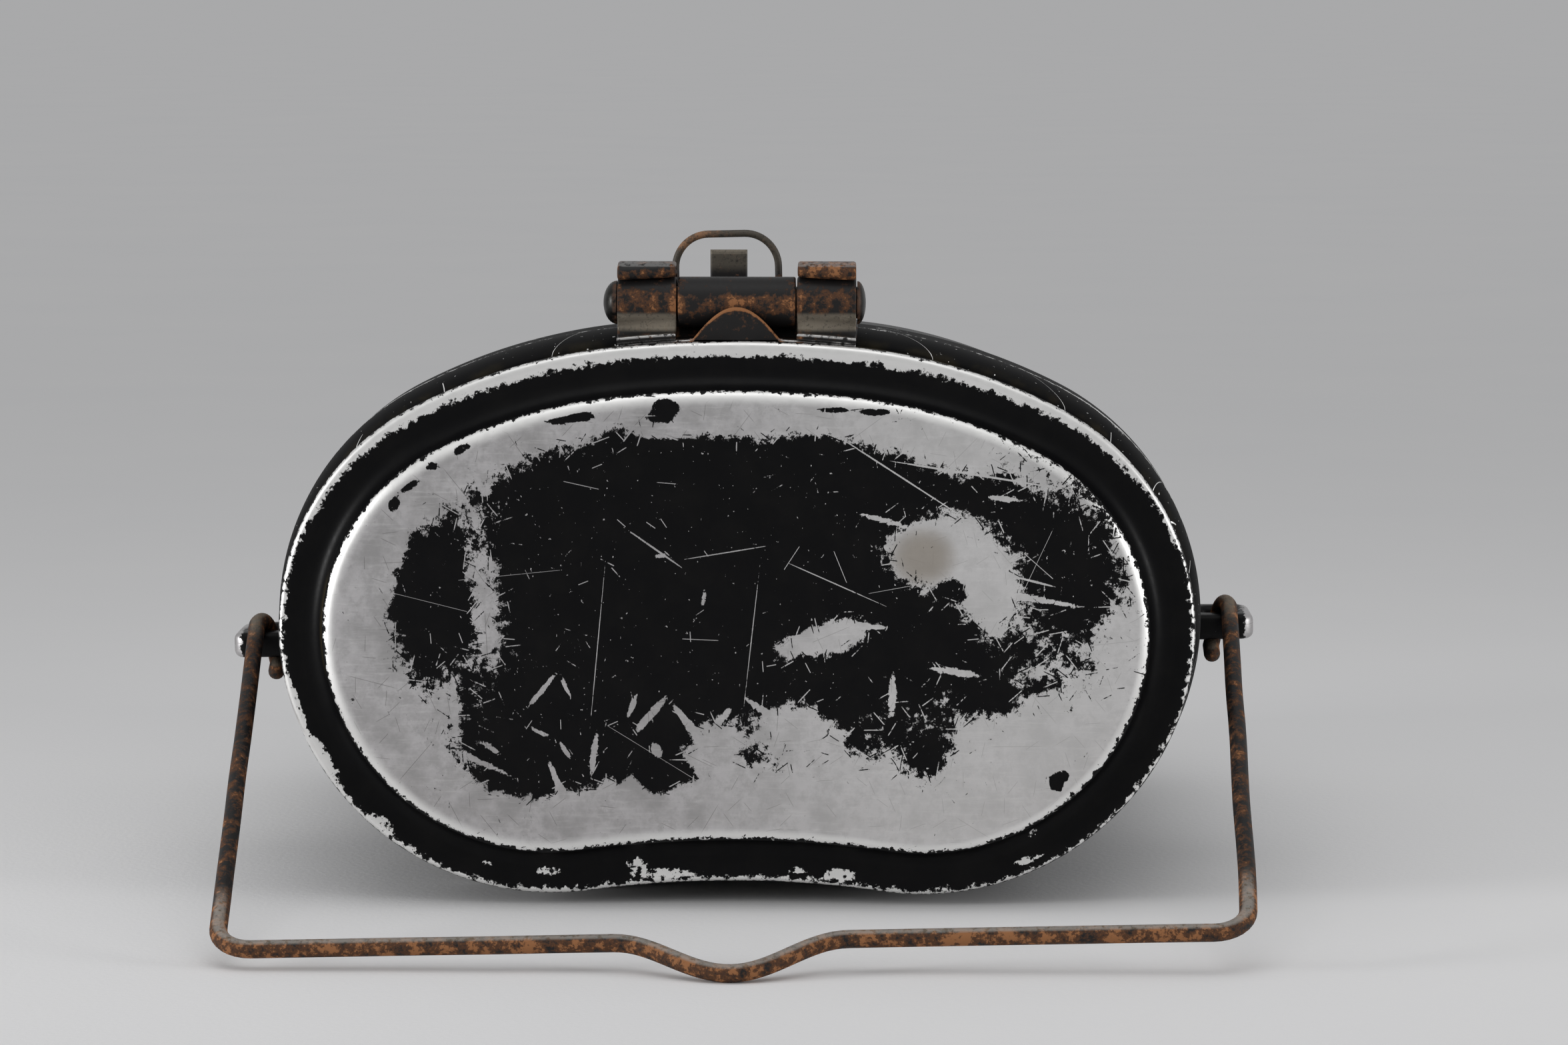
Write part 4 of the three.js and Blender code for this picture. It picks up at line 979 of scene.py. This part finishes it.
class Graph:
    """A material's nodes, made by calls that give back Values."""

    def __init__(self, name, specular=0.5):
        self.material = bpy.data.materials.new(name)
        self.material.use_nodes = True
        self.tree = self.material.node_tree
        self.shader = self.tree.nodes["Principled BSDF"]
        self.shader.inputs["Specular IOR Level"].default_value = specular

    def make(self, kind, outputs, inputs, **settings):
        """A new node. Gives back the output that is asked for, or a list of those in a tuple."""
        node = self.tree.nodes.new(kind)
        for key, value in settings.items():
            setattr(node, key, value)
        for key, value in inputs.items():
            self.feed(node.inputs[key], value)
        if isinstance(outputs, tuple):
            return [Value(self, node.outputs[key]) for key in outputs]
        return Value(self, node.outputs[outputs])

    def feed(self, socket, value):
        if isinstance(value, Value):
            self.tree.links.new(value.socket, socket)
        elif socket.type == "RGBA":
            socket.default_value = (*value, 1.0)
        else:
            socket.default_value = value

    def math(self, operation, *values):
        return self.make("ShaderNodeMath", 0, dict(enumerate(values)), operation=operation)

    def vector(self, operation, *values, output="Vector"):
        return self.make("ShaderNodeVectorMath", output, dict(enumerate(values)), operation=operation)

    def axes(self, vector):
        return self.make("ShaderNodeSeparateXYZ", (0, 1, 2), {0: vector})

    def joined(self, x, y, z=0.0):
        return self.make("ShaderNodeCombineXYZ", 0, {0: x, 1: y, 2: z})

    def mix(self, factor, first, second):
        """Colours mixed by a factor."""
        return self.make("ShaderNodeMix", 2, {0: factor, 6: first, 7: second}, data_type="RGBA")

    def blend(self, factor, first, second):
        """Numbers mixed by a factor."""
        return self.make("ShaderNodeMix", 0, {0: factor, 2: first, 3: second}, data_type="FLOAT")

    def noise(self, place, scale, detail=3.0, rough=0.5):
        inputs = {"Vector": place, "Scale": scale, "Detail": detail, "Roughness": rough}
        return self.make("ShaderNodeTexNoise", 0, inputs)

    def swing(self, place, scale, depth, detail, rough):
        """Noise that runs about depth either way of zero."""
        return self.noise(place, scale, detail, rough) * (3.6 * depth) - 1.8 * depth

    def attribute(self, name):
        return self.make("ShaderNodeAttribute", "Fac", {}, attribute_name=name)

    def place(self):
        """The place on the object in millimetres from the shoulder's plane. It rides with its piece."""
        spot = self.make("ShaderNodeTexCoord", "Object", {}).scaled((1 / MM, 1 / MM, 1 / MM))
        return self.vector("SUBTRACT", spot, (0.0, SHOULDER_Y, 0.0))

    def patch(self, flat, x, z, wide, high, turn, amount):
        """An oval that counts for amount at its middle and fades out past its border; flat is (x, z, 1)."""
        cosine, sine = math.cos(math.radians(turn)), math.sin(math.radians(turn))
        along = (cosine / wide, sine / wide, -(x * cosine + z * sine) / wide)
        across = (-sine / high, cosine / high, (x * sine - z * cosine) / high)
        u = self.vector("DOT_PRODUCT", flat, along, output="Value")
        v = self.vector("DOT_PRODUCT", flat, across, output="Value")
        return (u * u + v * v).step(0.12, 1.82, amount, 0.0)

    def dashes(self, flat, scale, wide, long, share, seed):
        """Short straight marks in random places and directions, in a share of a random pattern's cells."""
        moved = self.vector("ADD", flat, (seed, 2.3 * seed, 0.0))
        colour, middle = self.make("ShaderNodeTexVoronoi", ("Color", "Position"),
                                   {"Vector": moved, "Scale": scale}, voronoi_dimensions="2D")
        turned, chance = self.make("ShaderNodeSeparateColor", (0, 1), {0: colour})
        x, y, _ = self.axes(self.vector("SUBTRACT", moved, middle))
        turn = turned * math.tau
        cosine, sine = self.math("COSINE", turn), self.math("SINE", turn)
        short = abs(x * cosine + y * sine).step(long * 0.7, long * 1.1, 1.0, 0.0)
        slim = abs(x * sine - y * cosine).step(wide * 0.6, wide * 1.2, 1.0, 0.0)
        return slim * short * self.math("LESS_THAN", chance, share)

    def finish(self, colour, rough, metal, height, depth):
        """Feeds the shader; height is in steps of depth, in millimetres."""
        bump = self.make("ShaderNodeBump", 0, {"Height": height, "Distance": depth * MM, "Strength": 1.0})
        fed = {"Base Color": colour, "Roughness": rough, "Metallic": metal, "Normal": bump}
        for key, value in fed.items():
            self.feed(self.shader.inputs[key], value)
        return self.material


# An amount of paint or of wear that outdoes every other one.
SURE = 30.0
PAINT = (0.003, 0.003, 0.0035)
PAINT_HAZE = (0.0075, 0.007, 0.0068)
PAINT_SPECULAR = 0.11
BARE = (0.62, 0.605, 0.61)
BARE_STAIN = (0.44, 0.43, 0.43)
# Near-white bare metal: polished streaks, and the painted highlight along the lid's worn rims and bead.
BARE_POLISHED_AND_HIGHLIGHT = (0.94, 0.935, 0.92)
BARE_BROWN = (0.36, 0.31, 0.25)
BARE_SCRATCHED = (0.13, 0.12, 0.115)
DIRT = (0.045, 0.036, 0.018)
PITS = (0.06, 0.055, 0.05)
STEEL_SPECULAR = 0.24
STEEL_DARK = (0.014, 0.013, 0.013)
STEEL_TAN = (0.27, 0.235, 0.185)
STEEL_BRIGHT = (0.55, 0.54, 0.53)
RUST_BROWN = (0.095, 0.042, 0.02)
RUST_ORANGE = (0.31, 0.135, 0.055)
PIN_DARK, PIN_PALE = (0.017, 0.017, 0.016), (0.038, 0.037, 0.035)
PAPER, PAPER_PALE = (0.86, 0.86, 0.87), (0.90, 0.895, 0.895)


def bare_metal(g, spot, flat):
    """Colour and roughness of dull bare aluminium, with stains and fine dark scratches."""
    stain = g.noise(spot, 0.11, 5.0, 0.62).step(0.42, 0.66)
    cloud = g.noise(spot, 0.4, 6.0, 0.72).step(0.4, 0.64, 0.0, 0.75)
    brushed = g.noise(spot.scaled((0.12, 1.0, 1.5)), 1.1, 5.0, 0.75).step(0.5, 0.7, 0.0, 0.2)
    fine = g.dashes(flat, 0.28, 0.05, 1.5, 0.6, 31.0)
    long = g.dashes(flat, 0.09, 0.055, 4.6, 0.5, 57.0)
    specks = g.noise(spot, 2.1, 3.0, 0.6).step(0.7, 0.76)
    colour = g.mix(largest(stain, cloud), BARE, BARE_STAIN)
    colour = g.mix(brushed, colour, BARE_POLISHED_AND_HIGHLIGHT)
    colour = g.mix(largest(fine, long, specks) * 0.55, colour, BARE_SCRATCHED)
    return colour, g.noise(spot, 0.6, 4.0, 0.6) * 0.3 + 0.3


def scratch_field(g, spot, flat, seed):
    """Specks and scratches scattered over paint in loose groups, as an amount of wear."""
    specks = g.noise(spot, 1.5, 3.0, 0.55).step(0.71, 0.735)
    short = g.dashes(flat, 0.2, 0.075, 1.0, 0.16, seed + 11.0)
    middle = g.dashes(flat, 0.075, 0.06, 3.4, 0.2, seed + 23.0)
    hair = g.dashes(flat, 0.035, 0.035, 10.0, 0.3, seed + 37.0)
    groups = g.noise(spot, 0.05, 3.0, 0.5).step(0.42, 0.56)
    return largest(largest(short, middle) * groups, specks, hair)


def painted(g, spot, flat, keep, dirt=0.0, brown=0.0, polish_and_highlight=0.0, dull=0.0):
    """Black paint where keep is above zero and bare metal elsewhere, with a ragged step between."""
    bare = keep.step(-0.16, 0.16, 1.0, 0.0)
    metal, metal_rough = bare_metal(g, spot, flat)
    # The polish mask paints bare metal near-white, as polished metal and a painted highlight.
    metal = g.mix(brown, g.mix(polish_and_highlight, metal, BARE_POLISHED_AND_HIGHLIGHT), BARE_BROWN)
    haze = g.noise(spot, 0.16, 4.0, 0.6).step(0.38, 0.75, 0.0, 0.5)
    paint = g.mix(dirt, g.mix(haze, PAINT, PAINT_HAZE), DIRT)
    paint_rough = largest(g.noise(spot, 0.9, 4.0, 0.65) * 0.22 + 0.27, dull)
    rough = g.blend(bare, paint_rough, metal_rough)
    return g.finish(g.mix(bare, paint, metal), rough, bare, g.noise(spot, 1.7, 3.0, 0.5), 0.012)


def lid_paint():
    """Paint worn through on the lid's panel, along its shoulder bead, and round its skirt."""
    g = Graph("worn_lid_paint", PAINT_SPECULAR)
    spot = g.place()
    x, y, z = g.axes(spot)
    flat = g.joined(x, z)
    placed = g.joined(x, z, 1.0)
    ragged = g.swing(spot, 0.85, 2.6, 7.0, 0.68)
    drift = g.swing(spot, 0.12, 4.4, 4.0, 0.55)
    panel, bead = g.attribute("panel"), g.attribute("bead")

    # The panel's face: paint in its middle, worn away where the ovals say and towards its edge.
    inward = smallest(panel - x.step(30.0, 62.0, 3.6, 1.6), 8.0)
    face = largest(smallest(inward + g.attribute("wear") + drift, 9.0), -7.0)
    flaking = x.step(-42.0, -26.0, 9.5, 6.2) + x.step(18.0, 36.0, 0.0, 2.6)
    face = face + g.swing(spot.scaled((1.3, 1.0, 0.35)), 0.8, 1.2, 5.0, 0.6)
    face = face + g.swing(spot, 0.6, 1.0, 8.0, 0.8) * flaking
    face = face + g.dashes(flat, 0.33, 0.1, 1.7, 0.6, 5.0) * -5.0
    face = face + g.dashes(flat, 0.42, 0.1, 1.3, 0.6, 17.0) * 4.0
    for hairline in stroke_ovals(PANEL_HAIRLINES, HAIRLINE_AMOUNT):
        face = face + g.patch(placed, *hairline)
    limit = panel + z.step(30.0, 85.0, -0.1, 0.5) + ragged * 0.5
    face = face + scratch_field(g, spot, flat, 3.0) * -22.0 + limit.step(-0.12, 0.12, 1.0, 0.0) * 40.0

    # The shoulder's bead, worn widest along the arched top, and chipped lower down.
    width = z.step(56.0, 98.0, 0.15, 1.8) + x.step(20.0, 60.0, 0.0, -0.25)
    broken = g.noise(spot, 0.9, 5.0, 0.7).step(0.38, 0.62, 0.1, 1.5)
    chips = g.attribute("chips") * broken + ragged * 0.55
    beside = largest(bead * 1.6 - 0.6, bead * -1.0 - 0.15) - width
    rim = largest(beside, bead - 0.7) + chips + y.step(4.0, 6.0, 0.0, SURE)

    # The skirt's roll and mouth, and the scratches on its side.
    along = g.noise(spot.scaled((1.0, 0.0, 1.0)), 0.05, 3.0, 0.6)
    worn = abs(x).step(40.0, 66.0) * z.step(52.0, 80.0) * 1.4
    wide = along.step(0.4, 0.62) * 0.8 + worn - 0.55
    roll = abs(g.attribute("crest") + 1.2) - wide + ragged * 0.75 + chips * 0.15 + y.step(13.0, 11.5) * SURE
    mouth = abs(g.attribute("mouth")) - 0.5 + ragged * 0.35
    skirt = scratch_field(g, spot, g.joined(g.attribute("around"), y), 71.0) * -20.0
    skirt = skirt + drift * 1.1 + ragged + 6.0 + y.step(4.0, 2.0) * SURE
    keep = smallest(face, rim, roll, mouth, skirt)

    grime = y.step(4.0, 8.0) * y.step(13.0, 9.0) * g.noise(spot, 0.14, 4.0, 0.6).step(0.42, 0.7)
    groove = panel.step(-4.5, -2.5) * panel.step(-0.6, -1.6)
    rust = groove * g.patch(placed, -71.5, 50, 2.5, 8, 0, 1.0)
    tint = g.patch(placed, 32.5, 62.5, 5, 4.5, 0, 0.7)
    # Painted highlight: bare metal is painted near-white along the panel's rim and beyond its cove (bead,
    # neck, roll and skirt), as polished worn metal and a painted highlight. It is also painted lighter
    # towards the right.
    polish_and_highlight = largest(abs(panel).step(2.6, 0.6), panel.step(-4.0, -6.0), x.step(-20.0, 40.0, 0.0, 0.42))
    dull = y.step(5.0, 8.0, 0.0, 0.62)
    return painted(g, spot, flat, keep, largest(grime, rust), tint, polish_and_highlight, dull)


def pot_paint():
    """Paint worn along the pot's base corner and its lip, and scratched on its sides."""
    g = Graph("worn_pot_paint", PAINT_SPECULAR)
    spot = g.place()
    _, y, z = g.axes(spot)
    flat = g.joined(g.attribute("around"), y)
    ragged = g.swing(spot, 0.8, 2.4, 7.0, 0.68)
    drift = g.swing(spot, 0.035, 6.0, 4.0, 0.6)
    sides = drift + ragged + scratch_field(g, spot, flat, 113.0) * -22.0 + z.step(10.0, 1.0, 0.0, -5.5) + 6.2
    corner = abs(g.attribute("base")) - 0.3 + ragged * 0.9 + drift * 0.5 + g.swing(spot, 0.2, 1.6, 5.0, 0.65)
    mouth = g.attribute("mouth")
    lip = abs(mouth) - 0.6 + ragged * 0.3
    inside = mouth.step(0.8, 1.6, SURE, -SURE)
    return painted(g, spot, flat, smallest(sides, corner, lip, inside))


def ear_metal():
    """Cast aluminium under black paint, worn bright at the tip."""
    g = Graph("worn_cast_ear", PAINT_SPECULAR)
    spot = g.place()
    x, y, z = g.axes(spot)
    tip = abs(x).step(90.2, 92.8, 0.0, -4.4)
    eye = abs(x).step(82.5, 84.0) * -0.8
    keep = tip + eye + g.swing(spot, 0.9, 2.6, 6.0, 0.7) + 2.6
    return painted(g, spot, g.joined(y, z), keep)


def rivet_metal():
    """Bare aluminium rivet heads with dark in their pits."""
    g = Graph("worn_rivet")
    spot = g.place()
    colour, rough = bare_metal(g, spot, spot)
    pits = g.noise(spot, 1.4, 4.0, 0.6).step(0.48, 0.66)
    return g.finish(g.mix(pits * 0.8, colour, PITS), rough, pits * -0.7 + 1.0, pits * -1.0, 0.05)


def rusted(g, spot, rust, bright, tan, shine=0.45):
    """Dark steel with brown and orange rust, tan worn metal and bright worn lines. The bright marks on the
    bracket's front lips, and the tan and bright marks on the bail's upward faces, are painted highlights as
    well as wear.
    """
    speckle = g.noise(spot, 1.6, 5.0, 0.7)
    amount = g.noise(spot, 0.42, 5.0, 0.65) * 3.4 + speckle * 1.8 + rust - 2.6
    brown = amount.step(-0.1, 0.45)
    worn = speckle.step(0.22, 0.5) * tan
    lines = g.noise(spot, 0.9, 4.0, 0.65).step(0.36, 0.5) * bright
    colour = g.mix(brown, STEEL_DARK, RUST_BROWN)
    colour = g.mix(amount.step(0.48, 0.8), colour, RUST_ORANGE)
    colour = g.mix(lines, g.mix(worn, colour, STEEL_TAN), STEEL_BRIGHT)
    rough = g.blend(lines, g.blend(brown, speckle * 0.3 + (shine - 0.15), 0.72), 0.3)
    return g.finish(colour, rough, largest(lines, worn * 0.5), brown * speckle + lines * -0.4, 0.06)


def hinge_steel():
    """The bracket: rusty knuckles, a tan flare, bright front edges that are worn steel and a painted
    highlight, and a dark tongue.
    """
    g = Graph("rusty_bracket", STEEL_SPECULAR)
    spot = g.place()
    x, y, z = g.axes(spot)
    out = abs(x)
    radius = g.vector("LENGTH", g.joined(x, z - ARCS[0][1]), output="Value")
    rise = radius - OUTLINE[0][0]
    # Bright front lips of the plate below the knuckles: worn steel and a painted highlight.
    lip = largest(rise.band(1.35, 0.24, 0.15), rise.band(0.25, 0.2, 0.12))
    bright = lip * y.step(3.5, 3.1) * out.step(7.0, 8.6)
    flare = z.band(102.2, 0.9, 1.0) * y.step(8.0, 5.0) * out.step(8.0, 10.0)
    across = smallest(out * (1 / TONGUE["half"]), 1.0)
    crown = g.math("POWER", 1.0 - across * across, 1.2) * TONGUE["height"] + TONGUE_BASE
    edge = (crown - z).step(0.75, 0.3) * y.step(4.4, 4.0) * out.step(8.6, 7.8)
    seam = out.band(BRACKET["inner"] + 0.4, 0.3, 0.6)
    rust = z.band(105.6, 1.6, 1.8) * 0.42 + edge * 1.1 + seam * 0.3 - 0.25
    return rusted(g, spot, rust, bright, flare)


def handle_steel():
    """The folding handle: rusty tabs and barrel ends, and a dark barrel with a rusty band."""
    g = Graph("rusty_handle", STEEL_SPECULAR)
    spot = g.place()
    x, y, z = g.axes(spot)
    out = abs(x)
    tabs = out.step(10.2, 10.8) * z.step(108.5, 110.0)
    rims = largest(out.band(10.9, 0.4, 0.7), out.band(21.2, 0.5, 0.7))
    left = largest(rims, z.step(111.9, 110.9), z.step(112.1, 112.4)) * 0.75 - 0.12
    right = g.blend(x.step(-2.0, 2.0), left, 0.85)
    barrel = z.band(105.3, 1.1, 1.4) * 0.62 + out.step(8.4, 10.0) * 0.45
    rust = (tabs * right + out.step(10.4, 10.2) * barrel) * y.step(19.0, 17.0) - 0.42
    thumb = y.step(88.0, 90.5) * z.step(108.3, 108.7)
    bead = y.step(26.0, 30.0) * z.step(104.6, 106.9)
    lips = tabs * z.band(112.2, 0.3, 0.2) * 0.3
    return rusted(g, spot, rust, lips, largest(thumb * 0.7, bead * 0.35))


def bail_steel():
    """The bail's wire: dark arms and a rusty bar. Hooks and bar are tan where they face upwards, as worn
    metal and a painted highlight, and the bar has a bright line along its top that is worn metal and a
    painted highlight.
    """
    g = Graph("rusty_bail_wire", STEEL_SPECULAR)
    spot = g.place()
    _, y, _ = g.axes(spot)
    _, _, up = g.axes(g.make("ShaderNodeNewGeometry", "Normal", {}))
    hooks = y.step(28.0, 35.0)
    bar = y.step(-38.0, -46.0)
    # Upward-facing sides, found from the surface normal: the tan and bright marks there are worn metal and a
    # painted highlight.
    top = up.step(0.55, 0.9)
    rust = hooks * 0.2 + bar * 0.4 + 0.1
    return rusted(g, spot, rust, bar * top * 0.3, largest(bar, hooks) * top * 0.6, 0.5)


def staple_steel():
    """The staple's wire, rusty at its left shoulder and worn tan along its crown."""
    g = Graph("rusty_staple_wire", STEEL_SPECULAR)
    spot = g.place()
    x, _, z = g.axes(spot)
    rust = x.step(-4.0, -8.0) * z.step(106.0, 110.0) * 0.8 - 0.2
    return rusted(g, spot, rust, 0.0, z.step(103.0, 108.0) * 0.3)


def base_steel():
    g = Graph("rusty_staple_base", STEEL_SPECULAR)
    return rusted(g, g.place(), 0.05, 0.0, 0.15)


def pin_metal():
    """Dark polished steel, with grime and a little rust where the heads meet the knuckles."""
    g = Graph("polished_pin")
    spot = g.place()
    x, _, _ = g.axes(spot)
    grime = g.noise(spot, 0.9, 5.0, 0.65)
    rust = abs(x).step(21.9, 21.1) * grime.step(0.35, 0.6)
    colour = g.mix(rust, g.mix(grime.step(0.3, 0.7), PIN_DARK, PIN_PALE), RUST_BROWN)
    return g.finish(colour, grime * 0.3 + rust * 0.3 + 0.2, rust * -0.6 + 0.85, grime, 0.03)


def floor_paper():
    g = Graph("pale_paper", 0.0)
    spot = g.make("ShaderNodeTexCoord", "Object", {})
    colour = g.mix(g.noise(spot, 9.0, 4.0, 0.6), PAPER, PAPER_PALE)
    return g.finish(colour, 1.0, 0.0, g.noise(spot, 900.0, 2.0, 0.5), 0.05)


rivets = rivet_metal()
pan_lid(lid_paint())
pot(pot_paint())
bracket_rivets(rivets)
hinge_bracket(hinge_steel())
hinge_pin(pin_metal())
pan_handle(handle_steel())
bail(bail_steel())
ears(ear_metal(), rivets)
strap_staple(base_steel(), staple_steel(), rivets)


# ---------------------------------------------------------------- floor, light and camera

FLOOR_HALF = 60.0
# Lights: name, place, target, size, power and spread in degrees. Places are metres.
LIGHTS = [
    ("overhead", (0.0, -0.24, 0.82), (0, -0.1, 0.05), (0.9, 0.6), 0.41, 90),
    ("left", (-0.85, -0.3, 0.2), (0, -0.04, 0.05), (0.25, 0.25), 0.19, 40),
    ("right", (0.85, -0.3, 0.2), (0, -0.04, 0.05), (0.25, 0.25), 0.1, 40),
]
SKY = (0.45, 0.452, 0.455)


def add_floor(material):
    mesh = bpy.data.meshes.new("floor")
    corners = [(x * FLOOR_HALF, y * FLOOR_HALF, 0) for x, y in ((-1, -1), (1, -1), (1, 1), (-1, 1))]
    mesh.from_pydata(corners, [], [(0, 1, 2, 3)])
    mesh.materials.append(material)
    floor = bpy.data.objects.new("floor", mesh)
    bpy.context.scene.collection.objects.link(floor)


def add_light(name, place, target, size, power, spread):
    """A soft rectangular light that faces a target."""
    light = bpy.data.lights.new(name, "AREA")
    light.shape = "RECTANGLE"
    light.size, light.size_y = size
    light.energy = power
    light.spread = math.radians(spread)
    lamp = bpy.data.objects.new(name, light)
    lamp.location = place
    lamp.rotation_mode = "QUATERNION"
    lamp.rotation_quaternion = (Vector(target) - Vector(place)).to_track_quat("-Z", "Y")
    bpy.context.scene.collection.objects.link(lamp)


def add_world(colour):
    world = bpy.data.worlds.new("studio")
    world.use_nodes = True
    background = world.node_tree.nodes["Background"]
    background.inputs["Color"].default_value = (*colour, 1)
    background.inputs["Strength"].default_value = 1.0
    bpy.context.scene.world = world


# The camera's place is in metres from the middle of the pan's face, along the camera's own axes.
CAMERA = {"lens": 105.0, "sensor": 36.0, "pitch": 7.0, "turn": 1.2, "face_z": 0.0506}
CAMERA_FROM_FACE = (0.00835, 0.017, 0.796)


def add_camera():
    """A long lens a little above the pan's face, which looks slightly down and to the left."""
    data = bpy.data.cameras.new("camera")
    data.lens = CAMERA["lens"]
    data.sensor_width = CAMERA["sensor"]
    camera = bpy.data.objects.new("camera", data)
    camera.rotation_euler = (math.radians(90 - CAMERA["pitch"]), 0.0, math.radians(CAMERA["turn"]))
    face = Vector((0.0, SHOULDER_Y * MM, CAMERA["face_z"]))
    camera.location = face + camera.rotation_euler.to_matrix() @ Vector(CAMERA_FROM_FACE)
    bpy.context.scene.collection.objects.link(camera)
    bpy.context.scene.camera = camera


add_floor(floor_paper())
for light in LIGHTS:
    add_light(*light)
add_world(SKY)
add_camera()
bpy.context.scene.view_settings.view_transform = "Standard"
